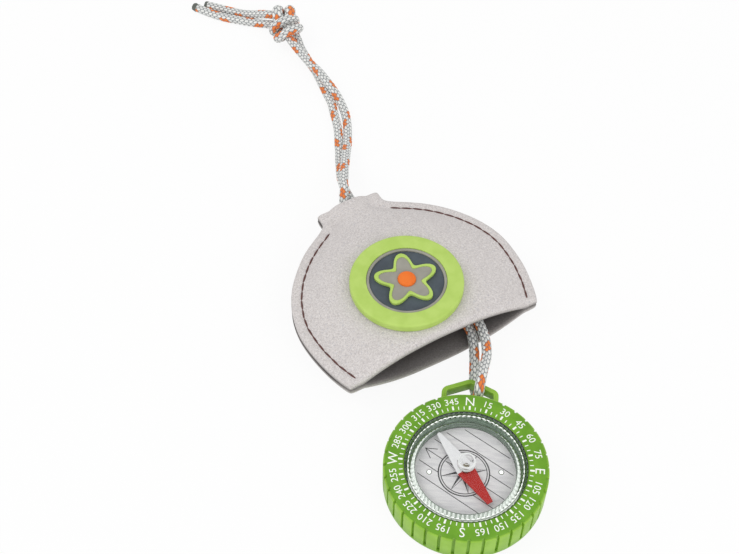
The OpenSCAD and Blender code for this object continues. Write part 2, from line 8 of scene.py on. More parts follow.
import bmesh
import bpy
from mathutils import Matrix, Vector, noise
from mathutils.bvhtree import BVHTree
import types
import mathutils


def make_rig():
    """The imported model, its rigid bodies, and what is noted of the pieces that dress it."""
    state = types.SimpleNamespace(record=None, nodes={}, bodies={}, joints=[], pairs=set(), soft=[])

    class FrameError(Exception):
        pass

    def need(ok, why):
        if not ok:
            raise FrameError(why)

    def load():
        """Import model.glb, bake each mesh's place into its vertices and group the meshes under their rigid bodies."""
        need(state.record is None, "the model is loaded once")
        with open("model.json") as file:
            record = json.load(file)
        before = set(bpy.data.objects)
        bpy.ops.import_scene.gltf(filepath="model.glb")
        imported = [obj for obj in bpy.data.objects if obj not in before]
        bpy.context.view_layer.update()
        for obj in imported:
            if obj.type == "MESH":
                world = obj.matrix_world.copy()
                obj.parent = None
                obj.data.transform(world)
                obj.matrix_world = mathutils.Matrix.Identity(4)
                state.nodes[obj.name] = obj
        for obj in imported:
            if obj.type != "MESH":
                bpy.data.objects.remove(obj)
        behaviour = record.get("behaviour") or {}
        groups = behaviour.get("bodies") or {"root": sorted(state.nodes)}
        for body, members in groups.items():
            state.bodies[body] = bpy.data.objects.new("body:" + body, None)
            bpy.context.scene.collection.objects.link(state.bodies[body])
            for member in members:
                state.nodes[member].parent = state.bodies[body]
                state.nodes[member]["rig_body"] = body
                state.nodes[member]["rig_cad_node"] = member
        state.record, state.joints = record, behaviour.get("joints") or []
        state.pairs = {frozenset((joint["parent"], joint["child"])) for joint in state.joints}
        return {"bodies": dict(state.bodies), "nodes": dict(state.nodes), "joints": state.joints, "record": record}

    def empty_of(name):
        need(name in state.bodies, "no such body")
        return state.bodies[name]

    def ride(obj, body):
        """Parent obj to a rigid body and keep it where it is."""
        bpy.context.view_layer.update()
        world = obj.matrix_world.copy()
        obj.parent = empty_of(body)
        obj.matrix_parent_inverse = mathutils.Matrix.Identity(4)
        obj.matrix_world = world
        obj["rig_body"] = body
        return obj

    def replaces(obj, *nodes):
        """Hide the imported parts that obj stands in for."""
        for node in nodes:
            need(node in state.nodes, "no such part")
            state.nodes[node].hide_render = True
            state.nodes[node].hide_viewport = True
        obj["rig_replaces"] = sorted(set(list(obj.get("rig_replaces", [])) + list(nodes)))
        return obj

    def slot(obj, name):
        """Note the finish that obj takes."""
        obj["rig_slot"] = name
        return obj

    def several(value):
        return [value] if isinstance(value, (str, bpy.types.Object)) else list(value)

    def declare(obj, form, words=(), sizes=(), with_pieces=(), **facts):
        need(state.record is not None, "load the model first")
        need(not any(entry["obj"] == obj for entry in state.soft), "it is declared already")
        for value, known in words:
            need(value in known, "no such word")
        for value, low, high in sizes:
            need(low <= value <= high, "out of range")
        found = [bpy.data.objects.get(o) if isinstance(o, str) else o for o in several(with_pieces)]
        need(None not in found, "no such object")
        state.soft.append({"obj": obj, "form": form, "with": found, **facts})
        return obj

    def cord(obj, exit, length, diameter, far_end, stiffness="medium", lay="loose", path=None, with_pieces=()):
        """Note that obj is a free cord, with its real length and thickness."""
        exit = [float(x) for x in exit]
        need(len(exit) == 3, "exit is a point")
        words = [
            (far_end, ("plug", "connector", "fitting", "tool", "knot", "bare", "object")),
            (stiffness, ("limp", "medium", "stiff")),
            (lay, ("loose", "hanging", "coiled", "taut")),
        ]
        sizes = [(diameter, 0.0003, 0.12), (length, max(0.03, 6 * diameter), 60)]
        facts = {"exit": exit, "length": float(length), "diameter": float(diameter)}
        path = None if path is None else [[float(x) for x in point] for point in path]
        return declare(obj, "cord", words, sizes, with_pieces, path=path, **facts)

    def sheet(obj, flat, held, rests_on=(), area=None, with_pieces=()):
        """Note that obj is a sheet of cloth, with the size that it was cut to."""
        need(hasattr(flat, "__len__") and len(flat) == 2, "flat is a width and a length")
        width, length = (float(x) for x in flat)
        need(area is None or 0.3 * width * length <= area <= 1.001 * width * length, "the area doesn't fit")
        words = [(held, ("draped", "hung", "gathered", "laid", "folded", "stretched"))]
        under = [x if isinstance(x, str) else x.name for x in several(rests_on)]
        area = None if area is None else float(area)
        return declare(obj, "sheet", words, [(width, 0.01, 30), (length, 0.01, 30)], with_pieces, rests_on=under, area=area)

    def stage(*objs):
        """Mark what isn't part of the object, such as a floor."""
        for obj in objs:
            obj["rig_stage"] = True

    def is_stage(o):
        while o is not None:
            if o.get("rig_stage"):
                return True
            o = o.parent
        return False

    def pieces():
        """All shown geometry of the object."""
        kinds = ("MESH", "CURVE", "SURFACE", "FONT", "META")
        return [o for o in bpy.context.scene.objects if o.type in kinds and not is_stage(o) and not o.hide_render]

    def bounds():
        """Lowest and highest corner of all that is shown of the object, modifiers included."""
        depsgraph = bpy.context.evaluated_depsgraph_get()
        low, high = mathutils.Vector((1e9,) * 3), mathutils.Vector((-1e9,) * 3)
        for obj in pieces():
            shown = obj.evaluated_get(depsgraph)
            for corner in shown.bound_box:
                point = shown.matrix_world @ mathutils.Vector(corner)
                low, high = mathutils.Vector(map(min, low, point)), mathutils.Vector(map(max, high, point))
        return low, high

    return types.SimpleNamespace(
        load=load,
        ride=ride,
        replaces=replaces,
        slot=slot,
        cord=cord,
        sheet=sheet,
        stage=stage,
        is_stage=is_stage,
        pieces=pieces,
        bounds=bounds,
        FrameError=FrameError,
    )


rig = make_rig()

MM = 0.001  # the pieces are worked out in millimetres and finished in metres

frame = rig.load()
cad_box = [list(corner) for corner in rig.bounds()]


# Camera and studio


def set_camera():
    """The photograph's viewpoint: over the compass's south side, looking down at the pouch."""
    lens = bpy.data.cameras.new("studio_camera")
    lens.sensor_fit = "HORIZONTAL"
    lens.sensor_width = 36
    lens.lens = 59.53  # millimetres, on a sensor 36 wide
    lens.clip_start = 0.01
    camera = bpy.data.objects.new("studio_camera", lens)
    camera.location = Vector((-9.8, -160.2, 303.6)) * MM
    aim = Vector((-32.44, 60.49, 10)) * MM - camera.location
    camera.rotation_euler = aim.to_track_quat("-Z", "Y").to_euler()
    bpy.context.scene.collection.objects.link(camera)
    bpy.context.scene.camera = camera


VIEW_RAYS = ("Is Camera Ray", "Is Glossy Ray", "Is Transmission Ray")  # the rays that see the background


def add_softbox(name, place, width, power):
    """A square soft light at a place, in metres, turned to the part's middle."""
    lamp = bpy.data.lights.new(name, "AREA")
    lamp.shape = "SQUARE"
    lamp.size = width
    lamp.energy = power
    box = bpy.data.objects.new(name, lamp)
    box.location = place
    box.rotation_euler = (Vector((-0.03, 0.06, 0)) - Vector(place)).to_track_quat("-Z", "Y").to_euler()
    bpy.context.scene.collection.objects.link(box)


# Finishes


def tone(red, green, blue):
    """A colour given in 0 to 255 steps, as the shader's linear red, green, blue and alpha."""
    parts = [c / 255 for c in (red, green, blue)]
    return tuple(c / 12.92 if c < 0.04045 else ((c + 0.055) / 1.055) ** 2.4 for c in parts) + (1,)


class Value:
    """One number in a material, so that shader sums are written as plain sums."""

    def __init__(self, finish, socket):
        self.finish, self.socket = finish, socket

    def math(self, operation, *others):
        made = self.finish.node("ShaderNodeMath", {"operation": operation}, dict(enumerate((self, *others))))
        return Value(self.finish, made.outputs[0])

    def __add__(self, other):
        return self.math("ADD", other)

    __radd__ = __add__

    def __mul__(self, other):
        return self.math("MULTIPLY", other)

    __rmul__ = __mul__

    def __sub__(self, other):
        return self.math("SUBTRACT", other)

    def __rsub__(self, other):
        return self.finish.number(other).math("SUBTRACT", self)

    def __truediv__(self, other):
        return self.math("DIVIDE", other)

    def __lt__(self, other):
        return self.math("LESS_THAN", other)

    def floor(self):
        return self.math("FLOOR")

    def wrap(self, span):
        return self.math("FLOORED_MODULO", span)

    def cos(self):
        return self.math("COSINE")

    def clamp(self):
        return self.math("MAXIMUM", 0.0).math("MINIMUM", 1.0)

    def ease(self, low, high):
        """0 below low and 1 above high, with a smooth step between them."""
        made = self.finish.node(
            "ShaderNodeMapRange",
            {"interpolation_type": "SMOOTHSTEP"},
            {"Value": self, "From Min": low, "From Max": high},
        )
        return Value(self.finish, made.outputs["Result"])


class Finish:
    """One material, with the method that adds a node to it."""

    def __init__(self, name, **fixed):
        self.material = bpy.data.materials.new(name)
        self.material.use_nodes = True
        self.tree = self.material.node_tree
        self.tree.nodes.clear()
        self.output = self.node("ShaderNodeOutputMaterial")
        self.skin = self.node("ShaderNodeBsdfPrincipled")
        for socket, value in fixed.items():
            self.skin.inputs[socket.replace("_", " ")].default_value = value
        self.link(self.skin.outputs[0], self.output.inputs["Surface"])

    def link(self, source, target):
        self.tree.links.new(source.socket if isinstance(source, Value) else source, target)

    def node(self, kind, settings=None, sockets=None):
        made = self.tree.nodes.new(kind)
        for name, value in (settings or {}).items():
            setattr(made, name, value)
        for key, value in (sockets or {}).items():
            if isinstance(value, (Value, bpy.types.NodeSocket)):
                self.link(value, made.inputs[key])
            else:
                made.inputs[key].default_value = value
        return made

    def number(self, value):
        made = self.node("ShaderNodeMath", {"operation": "ADD"}, {0: value, 1: 0.0})
        return Value(self, made.outputs[0])

    def mapped(self, vector, **changes):
        """A vector socket moved, turned or stretched."""
        return self.node("ShaderNodeMapping", {}, {"Vector": vector, **changes}).outputs[0]

    def place(self):
        """The piece's own coordinates, in millimetres, as a vector socket."""
        return self.mapped(self.node("ShaderNodeTexCoord").outputs["Object"], Scale=(1 / MM, 1 / MM, 1 / MM))

    def parts(self, vector):
        made = self.node("ShaderNodeSeparateXYZ", {}, {0: vector})
        return [Value(self, s) for s in made.outputs]

    def speckle(self, vector, scale, detail=2.0, roughness=0.5, distortion=0.0):
        made = self.node(
            "ShaderNodeTexNoise",
            {},
            {"Vector": vector, "Scale": scale, "Detail": detail, "Roughness": roughness,
              "Distortion": distortion},
        )
        return Value(self, made.outputs[0])

    def blend(self, share, first, second):
        """The mix of two colours by a share from 0 to 1."""
        made = self.node("ShaderNodeMix", {"data_type": "RGBA"}, {0: share, 6: first, 7: second})
        return made.outputs[2]

    def colour(self, source):
        self.link(source, self.skin.inputs["Base Color"])

    def rough(self, source):
        self.link(source, self.skin.inputs["Roughness"])

    def mix_surface(self, share, other):
        """Sends the surface through a mix of the skin and another shader."""
        both = self.node("ShaderNodeMixShader", {}, {0: share, 1: self.skin.outputs[0], 2: other.outputs[0]})
        self.link(both.outputs[0], self.output.inputs["Surface"])

    def relief(self, height, depth_mm, strength):
        made = self.node(
            "ShaderNodeBump", {}, {"Strength": strength, "Distance": depth_mm * MM, "Height": height}
        )
        self.link(made.outputs[0], self.skin.inputs["Normal"])


def lime_plastic():
    """Satin moulded plastic: deeper on the flat face, paler on the pads and down the sides."""
    f = Finish("lime_plastic", Roughness=0.38, Specular_IOR_Level=0.4)
    where = f.place()
    z = f.parts(where)[2]
    cloud = f.speckle(where, 0.18, 3)
    grain = f.speckle(where, 6.0, 3, 0.6)
    side = (9.85 - z).ease(0.0, 0.3)
    face = f.blend(cloud.ease(0.3, 0.7), tone(96, 150, 20), tone(112, 166, 34))
    pads = f.blend(cloud.ease(0.3, 0.7), tone(136, 182, 52), tone(152, 196, 70))
    foot = z.ease(-1.0, 5.0)
    pads = f.blend(foot, tone(124, 172, 44), pads)
    f.colour(f.blend(side, face, pads))
    f.rough(0.36 + grain * 0.16)
    f.relief(grain, 0.03, 0.5)
    return f


def scale_print():
    """White pad-printed marks, very slightly uneven."""
    f = Finish("scale_print", Roughness=0.45)
    wear = f.speckle(f.place(), 2.2, 3, 0.6)
    f.colour(f.blend(wear.ease(0.35, 0.75), tone(255, 255, 252), tone(236, 243, 228)))
    f.rough(0.4 + wear * 0.2)
    return f


def clear_plastic(name, tint):
    """Clear moulded plastic that lets the lamps through to what lies behind it."""
    f = Finish(name, Transmission_Weight=1.0, IOR=1.34, Base_Color=tint, Specular_IOR_Level=0.14)
    haze = f.speckle(f.place(), 0.5, 2)
    f.rough(haze * 0.008)
    path = f.node("ShaderNodeLightPath")
    open_way = f.node("ShaderNodeBsdfTransparent")
    lighting = Value(f, path.outputs["Is Shadow Ray"]).math("MAXIMUM", path.outputs["Is Diffuse Ray"])
    f.mix_surface(lighting, open_way)
    return f


def tinted_plastic(name, pale, deep, cover, roughness=0.2, gathered=0.0):
    """See-through plastic with its own colour, seen as a thin wall, and with a painted glow that stands in for the
    light that clear plastic gathers.
    """
    # The emission is a painted glow, not a lamp.
    f = Finish(name, Alpha=cover, Specular_IOR_Level=0.5, Emission_Color=pale, Emission_Strength=gathered)
    where = f.place()
    shade = f.speckle(f.mapped(where, Scale=(0.3, 0.3, 4.0)), 0.9, 3)
    f.colour(f.blend(shade.ease(0.3, 0.7), pale, deep))
    f.rough(roughness + shade * 0.1)
    return f


def dial_card():
    """Pale grey printed card with a faint brushed streak."""
    f = Finish("dial_card", Roughness=0.42, Coat_Weight=0.25)
    where = f.place()
    shade = f.speckle(f.mapped(where, Scale=(0.25, 1.6, 1)), 0.8, 3)
    f.colour(f.blend(shade.ease(0.3, 0.75), tone(226, 224, 225), tone(208, 206, 209)))
    f.rough(0.36 + shade * 0.15)
    return f


def printing_ink():
    f = Finish("printing_ink", Roughness=0.5)
    shade = f.speckle(f.place(), 3.0, 2)
    f.colour(f.blend(shade, tone(20, 19, 22), tone(40, 38, 42)))
    return f


NEEDLE_HEADING = (-0.6088, 0.7934)  # from the needle's cut end to its pointed tip, as the compass lies


def needle_lacquer():
    """The needle's two lacquers: white towards its pointed tip and red towards its cut end."""
    f = Finish("needle_lacquer", Specular_IOR_Level=0.15)
    where = f.place()
    x, y, _ = f.parts(where)
    along = x * NEEDLE_HEADING[0] + y * NEEDLE_HEADING[1]
    shade = f.speckle(where, 0.9, 2)
    white = f.blend(shade, tone(240, 240, 241), tone(222, 222, 225))
    red = f.blend(shade, tone(190, 24, 14), tone(160, 14, 8))
    f.colour(f.blend(along.ease(-0.03, 0.03), red, white))
    f.rough(0.26 + shade * 0.12)
    return f


def turned_metal(name, pale, deep):
    f = Finish(name, Metallic=1.0)
    shade = f.speckle(f.place(), 5.0, 2)
    f.colour(f.blend(shade, pale, deep))
    f.rough(0.25 + shade * 0.2)
    return f


def pressed_felt():
    """Pressed wool felt: grey-beige with fine pale, dark, brown and bluish fibres; its inner skin is darkened with
    painted shade.
    """
    f = Finish(
        "pressed_felt", Roughness=0.95, Sheen_Weight=0.12, Sheen_Roughness=0.6, Specular_IOR_Level=0.12
    )
    where = f.place()
    fibre = f.speckle(where, 2.3, 6, 0.74, 0.8)
    fine = f.speckle(where, 5.2, 4, 0.75, 0.4)
    cloud = f.speckle(where, 0.1, 3)
    blue = f.speckle(where, 1.5, 4, 0.7, 0.5)
    brown = f.speckle(f.mapped(where, Location=(31, 17, 5)), 1.9, 4, 0.7, 0.5)
    hair = f.speckle(f.mapped(where, Rotation=(0.4, 0.3, 0.9), Scale=(1.2, 5.0, 3.0)), 1.3, 3, 0.6, 1.4)
    wool = f.blend(fibre.ease(0.36, 0.64), tone(190, 184, 182), tone(230, 225, 223))
    wool = f.blend(fine.ease(0.5, 0.72) * 0.6, wool, tone(232, 227, 224))
    wool = f.blend((1 - fine.ease(0.3, 0.44)) * 0.5, wool, tone(140, 134, 134))
    wool = f.blend(blue.ease(0.54, 0.7) * 0.45, wool, tone(160, 164, 178))
    wool = f.blend(brown.ease(0.56, 0.72) * 0.4, wool, tone(172, 154, 146))
    wool = f.blend(cloud.ease(0.35, 0.75) * 0.25, wool, tone(206, 200, 198))
    wool = f.blend(hair.ease(0.66, 0.74) * 0.55, wool, tone(112, 108, 114))
    # Painted shade: the inner skin, marked on the mesh, is blended towards a deep brown-grey, standing in for the
    # shade within the pouch.
    inside = Value(f, f.node("ShaderNodeAttribute", {"attribute_name": "inside"}).outputs["Fac"])
    f.colour(f.blend(inside * 0.92, wool, tone(48, 41, 38)))
    f.relief(fibre * 0.6 + fine * 0.4, 0.15, 0.8)
    return f


def sewing_thread():
    """Brown twisted thread."""
    f = Finish("sewing_thread", Roughness=0.6, Sheen_Weight=0.2)
    where = f.place()
    ply = f.speckle(where, 3.2, 3, 0.6)
    f.colour(f.blend(ply.ease(0.3, 0.7), tone(62, 27, 23), tone(98, 50, 41)))
    f.relief(ply, 0.08, 0.8)
    return f


def soft_rubber(name, pale, deep):
    """Matt moulded rubber with a slightly cloudy skin."""
    f = Finish(name, Specular_IOR_Level=0.35)
    where = f.place()
    cloud = f.speckle(where, 0.25, 3)
    grain = f.speckle(where, 5.0, 3, 0.6)
    f.colour(f.blend(cloud.ease(0.3, 0.7), pale, deep))
    f.rough(0.48 + grain * 0.18)
    f.relief(grain, 0.03, 0.5)
    return f


CORD_D = 3.0
BRAID_YARNS = 5  # yarns each way round the cord
BRAID_PITCH = 1.75  # length from grain to grain along the cord, in millimetres
BRAID_TWIST = 0.002  # turns of the braid about the cord's own line, for each millimetre
GRAIN_HALF_WIDE, GRAIN_HALF_LONG = 0.5, 0.86
GRAIN_LEAN = 0.3  # how much each grain leans, to one side and the other by turns
FLECK_LINES = 3  # lines of orange flecks round the cord
FLECK_COLUMNS = 2 * BRAID_YARNS / FLECK_LINES  # columns of grains from one line to the next
FLECK_REPEAT = 15  # half grains from one orange fleck to the next along the cord
FLECK_WIDE, FLECK_LONG = 1.7, 3.5  # a fleck's columns, and its half grains along
CUT_END = -50.0  # stands in for millimetres along wherever the cord's end is cut and dark


def braid_grain(around, along, floor, wrap):
    """The grain at a place: row and column, whether it lies over, and its swell, 1 mid-grain, 0 at the edge.

    The numbers may be plain ones or a material's, with the floor and wrap that go with them."""
    turned = (around + along * BRAID_TWIST) * BRAID_YARNS
    first, second = turned + along / BRAID_PITCH, turned - along / BRAID_PITCH
    row, column = floor(first), floor(second)
    over = wrap(row + column, 2)
    a, b = first - row - 0.5, second - column - 0.5
    beside = (a + b) * (math.pi * CORD_D / BRAID_YARNS / 2)
    ahead = (a - b) * (BRAID_PITCH / 2)
    lean = GRAIN_LEAN * (1 - over * 2)
    wide = (beside + lean * ahead) / GRAIN_HALF_WIDE
    long = (ahead - lean * beside) / GRAIN_HALF_LONG
    return row, column, over, 1 - wide * wide - long * long


def braided_cord():
    """Braided cord: pale grains of yarn with grey gaps of painted shade, short groups of orange grains, and dark cut
    ends.
    """
    f = Finish("braided_cord", Roughness=0.8, Sheen_Weight=0.15, Specular_IOR_Level=0.25)
    lay = f.node("ShaderNodeUVMap", {"uv_map": "braid"}).outputs[0]
    around, along, _ = f.parts(lay)
    row, column, over, grain = braid_grain(around, along, Value.floor, Value.wrap)
    where = f.place()
    fuzz = f.speckle(where, 9.0, 3, 0.7)
    cloud = f.speckle(where, 0.6, 2)
    yarn = f.blend(over * 0.35 + cloud * 0.3, tone(246, 246, 242), tone(192, 195, 195))
    line = (row + column).wrap(2.0 * BRAID_YARNS)
    series = (line / FLECK_COLUMNS).floor()
    in_line = line.wrap(FLECK_COLUMNS) < FLECK_WIDE
    in_turn = (row - column - series * (FLECK_REPEAT / FLECK_LINES)).wrap(FLECK_REPEAT) < FLECK_LONG
    orange = in_line * in_turn
    yarn = f.blend(orange, yarn, f.blend(cloud, tone(246, 150, 76), tone(228, 112, 48)))
    # Painted shade: the gaps between grains are grey, and a deeper orange among orange grains.
    gap = f.blend(orange * 0.75, tone(146, 149, 151), tone(186, 86, 42))
    braid = f.blend((grain + (fuzz - 0.5) * 0.4).ease(-0.15, 0.4), gap, yarn)
    cut = along < CUT_END / 2
    f.colour(f.blend(cut, braid, f.blend(fuzz, tone(84, 88, 84), tone(112, 116, 110))))
    f.relief(grain.clamp() * 0.8 + fuzz * 0.2, 0.14, 0.8)
    return f


# Mesh helpers


WELD = 0.0005  # points nearer than this are one point, in millimetres
FLAT_UNDER = math.radians(1.0)  # faces that meet at less than this are one flat face
SHARP_OVER = math.radians(28)  # edges that turn by more than this are rounded


def finish_piece(bm, name, finish, body, smooth_under):
    """Turns a bmesh in millimetres into a piece in metres that rides on a body."""
    bmesh.ops.scale(bm, vec=(MM, MM, MM), verts=bm.verts)
    mesh = bpy.data.meshes.new(name)
    bm.to_mesh(mesh)
    bm.free()
    piece = bpy.data.objects.new(name, mesh)
    bpy.context.scene.collection.objects.link(piece)
    mesh.materials.append(finish.material)
    for face in mesh.polygons:
        face.use_smooth = True
    mesh.set_sharp_from_angle(angle=math.radians(smooth_under))
    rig.ride(piece, body)
    return piece


def softened_copy(node, width, segments):
    """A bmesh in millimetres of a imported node, with its sharp edges rounded to a width."""
    bm = bmesh.new()
    bm.from_mesh(frame["nodes"][node].data)
    bmesh.ops.scale(bm, vec=(1 / MM, 1 / MM, 1 / MM), verts=bm.verts)
    bmesh.ops.remove_doubles(bm, verts=bm.verts, dist=WELD)
    bmesh.ops.dissolve_limit(bm, angle_limit=FLAT_UNDER, verts=bm.verts, edges=bm.edges)
    sharp = [e for e in bm.edges if len(e.link_faces) == 2 and e.calc_face_angle(0) > SHARP_OVER]
    bmesh.ops.bevel(
        bm, geom=sharp, offset=width, offset_type="OFFSET", segments=segments, profile=0.5,
        affect="EDGES", clamp_overlap=True, material=-1,
    )
    return bm


def turned_shape(profile, steps, place=(0, 0, 0)):
    """A bmesh of a closed profile of radius and height, spun once round the vertical axis."""
    bm = bmesh.new()
    verts = [bm.verts.new((r, 0, z)) for r, z in profile]
    edges = [bm.edges.new((verts[i], verts[(i + 1) % len(verts)])) for i in range(len(verts))]
    bmesh.ops.spin(
        bm, geom=verts + edges, cent=(0, 0, 0), axis=(0, 0, 1), angle=2 * math.pi, steps=steps,
        use_merge=True, use_duplicate=False,
    )
    bmesh.ops.remove_doubles(bm, verts=bm.verts, dist=WELD)
    bmesh.ops.recalc_face_normals(bm, faces=bm.faces)
    bmesh.ops.translate(bm, verts=bm.verts, vec=place)
    return bm


def add_bar(bm, start, end, width, low, high):
    """Adds a straight printed line, as a thin bar, from one place to another."""
    start, end = Vector(start), Vector(end)
    run = end - start
    middle = (start + end) / 2
    turn = Matrix.Rotation(math.atan2(run.y, run.x), 4, "Z")
    size = Matrix.Diagonal((run.length, width, high - low, 1))
    at = Matrix.Translation((middle.x, middle.y, (low + high) / 2))
    bmesh.ops.create_cube(bm, size=1, matrix=at @ turn @ size)


def ring_section(radius_in, radius_out, low, high, steps=144):
    """A bmesh of a plain ring between two radii and two heights."""
    return turned_shape([(radius_in, low), (radius_out, low), (radius_out, high), (radius_in, high)], steps)


def add_band(bm, radius, width, low, high):
    """Adds a printed circle, as a thin band."""
    merge_in(bm, ring_section(radius - width / 2, radius + width / 2, low, high, 96))


def merge_in(bm, other, place=None):
    """Adds another bmesh to this one, and frees it."""
    if place is not None:
        bmesh.ops.transform(other, matrix=place, verts=other.verts)
    mesh = bpy.data.meshes.new("part_of_piece")
    other.to_mesh(mesh)
    other.free()
    bm.from_mesh(mesh)
    bpy.data.meshes.remove(mesh)


def word_shape(word, size, thickness):
    """A bmesh of a printed word, centred, lying flat."""
    text = bpy.data.curves.new("printed_word", "FONT")
    text.body = word
    text.size = size
    text.align_x = "CENTER"
    text.align_y = "CENTER"
    text.extrude = thickness / 2
    text.resolution_u = 3
    text.space_character = 1.02
    holder = bpy.data.objects.new("printed_word", text)
    bpy.context.scene.collection.objects.link(holder)
    shape = bpy.data.meshes.new_from_object(holder.evaluated_get(bpy.context.evaluated_depsgraph_get()))
    bm = bmesh.new()
    bm.from_mesh(shape)
    bpy.data.objects.remove(holder)
    bpy.data.curves.remove(text)
    bpy.data.meshes.remove(shape)
    bmesh.ops.remove_doubles(bm, verts=bm.verts, dist=WELD)
    xs = [v.co.x for v in bm.verts]
    ys = [v.co.y for v in bm.verts]
    bmesh.ops.translate(bm, verts=bm.verts, vec=(-(min(xs) + max(xs)) / 2, -(min(ys) + max(ys)) / 2, 0))
    return bm


# Cord


CORD_SIDES = 42
CORD_SMOOTH = 80  # edges that turn by less than this many degrees are shaded smooth
RUN_SHIFT, TURN_SHIFT, CORE_SHIFT = 2.7, 3.1, 1.7  # where the braid's lay starts, so that no two pieces match
RING_STEP = 0.2  # length from ring to ring of a cord's mesh, in millimetres
CURVE_STEPS = 40  # points reckoned between two of a route's points, before they are evenly spaced
GAP_DEPTH, GRAIN_RISE = 0.15, 0.2  # how deep the braid's gaps lie, and how far a grain rises out of them
END_CURVE, END_SHARE = 0.55, 0.7  # a cut end's rounding and the width of its flat, as shares of the radius

LOOP_ROUTE = [
    (-42.9, 88.2, 8.3), (-34.3, 81.8, 7.9), (-25.9, 74.6, 7.5), (-18.5, 66.5, 7.0), (-12.0, 58.0, 6.2),
    (-5.4, 52.6, 5.7), (-0.9, 47.0, 5.2), (0.3, 42.0, 4.4), (0.8, 37.2, 3.2), (1.0, 33.0, 1.9),
    (1.25, 30.0, 1.5), (1.55, 28.6, 1.5), (1.85, 27.2, 1.52), (2.1, 26.1, 2.1), (2.2, 25.4, 3.3),
    (2.3, 25.2, 4.9), (2.4, 25.3, 6.6), (2.5, 26.0, 8.0), (2.65, 27.4, 8.5), (2.9, 29.4, 8.5),
    (3.4, 33.0, 8.0), (4.0, 37.0, 7.3), (3.6, 42.4, 7.0), (1.6, 47.8, 7.6), (-2.6, 54.4, 7.4),
    (-9.4, 60.8, 7.0), (-16.0, 68.8, 7.2), (-24.2, 77.2, 7.6), (-33.5, 83.75, 7.9), (-40.5, 90.0, 7.9),
]
STRAND_LEFT_ROUTE = [
    (-40.5, 90.0, 7.9), (-41.3, 92.0, 7.1), (-42.5, 94.4, 6.5), (-44.3, 98.1, 5.9), (-45.2, 100.9, 5.2),
    (-46.5, 105.3, 4.0), (-47.3, 109.9, 2.8), (-48.0, 114.2, 1.9), (-48.5, 118.2, 1.5), (-49.2, 121.8, 1.5),
    (-49.7, 125.5, 1.5), (-50.4, 129.2, 1.5), (-51.5, 132.9, 1.5), (-52.7, 136.6, 1.5), (-53.8, 140.4, 1.5),
    (-55.6, 144.1, 1.5), (-57.5, 147.9, 1.5), (-59.4, 151.8, 1.5), (-61.3, 155.6, 1.5), (-63.8, 159.5, 1.5),
    (-66.1, 163.4, 1.5), (-68.2, 166.9, 2.0), (-69.7, 169.8, 3.2), (-71.6, 172.6, 4.4),
]
STRAND_RIGHT_ROUTE = [
    (-42.9, 88.2, 8.3), (-43.6, 90.3, 9.0), (-44.0, 92.8, 9.4), (-44.0, 95.0, 9.5), (-44.6, 97.5, 9.1),
    (-44.9, 101.7, 8.2), (-45.4, 106.4, 6.8), (-45.7, 111.4, 5.2), (-46.0, 116.5, 3.6), (-46.2, 121.4, 2.2),
    (-46.6, 125.7, 1.6), (-47.1, 129.5, 1.5), (-47.8, 133.2, 1.5), (-48.9, 136.9, 1.6), (-50.4, 140.0, 2.2),
    (-52.2, 142.9, 3.1), (-54.4, 145.8, 3.9), (-57.0, 149.1, 4.5), (-59.7, 152.5, 4.7), (-63.1, 156.1, 4.7),
    (-66.2, 159.9, 4.8), (-69.2, 163.6, 5.1), (-71.6, 166.8, 5.3), (-73.4, 170.6, 5.0),
]
TAIL_LONG_ROUTE = [
    (-79.0, 177.2, 3.0), (-82.0, 178.1, 2.2), (-86.5, 178.9, 1.6), (-90.6, 179.5, 1.5), (-93.7, 180.0, 1.5),
    (-98.0, 180.7, 1.5), (-102.5, 182.0, 1.5), (-106.2, 183.5, 1.5), (-111.1, 185.8, 1.5),
]
TAIL_SHORT_ROUTE = [
    (-77.6, 178.2, 6.0), (-80.2, 179.4, 5.6), (-84.0, 180.8, 4.4), (-88.2, 182.0, 2.9), (-92.4, 183.3, 1.8),
    (-97.1, 184.6, 1.5), (-104.6, 186.5, 1.5), (-107.0, 187.0, 1.5),
]


def smooth_route(route, step, closed=False):
    """Evenly spaced points along a smooth curve through a route's points."""
    points = [Vector(p) for p in route]
    if closed:
        chain = [points[-1], *points, points[0], points[1]]
    else:
        chain = [points[0] * 2 - points[1], *points, points[-1] * 2 - points[-2]]
    fine = []
    for before, start, end, after in zip(chain, chain[1:], chain[2:], chain[3:]):
        span = (end - start).length
        lead, follow = (start - before).length, (after - end).length
        leave = ((start - before) / lead * span + (end - start) / span * lead) / (lead + span) * span
        arrive = ((end - start) / span * follow + (after - end) / follow * span) / (span + follow) * span
        for k in range(CURVE_STEPS):
            t = k / CURVE_STEPS
            fine.append(
                start * (2 * t**3 - 3 * t * t + 1) + leave * (t**3 - 2 * t * t + t)
                + end * (3 * t * t - 2 * t**3) + arrive * (t**3 - t * t)
            )
    fine.append(points[0] if closed else points[-1])
    total = sum((b - a).length for a, b in zip(fine, fine[1:]))
    count = max(2, round(total / step))
    even, walked, k = [fine[0]], 0.0, 0
    for i in range(1, count):
        goal = total * i / count
        while walked + (fine[k + 1] - fine[k]).length < goal:
            walked += (fine[k + 1] - fine[k]).length
            k += 1
        piece = fine[k + 1] - fine[k]
        even.append(fine[k] + piece * ((goal - walked) / piece.length))
    if not closed:
        even.append(fine[-1])
    return even


def route_length(path):
    return sum((b - a).length for a, b in zip(path, path[1:]))


def yarn_height(around, along):
    """How far the braid stands up, from 0 in a gap to 1 on a grain, at a place round and along the cord."""
    return math.sqrt(max(0.0, braid_grain(around, along, math.floor, operator.mod)[3]))


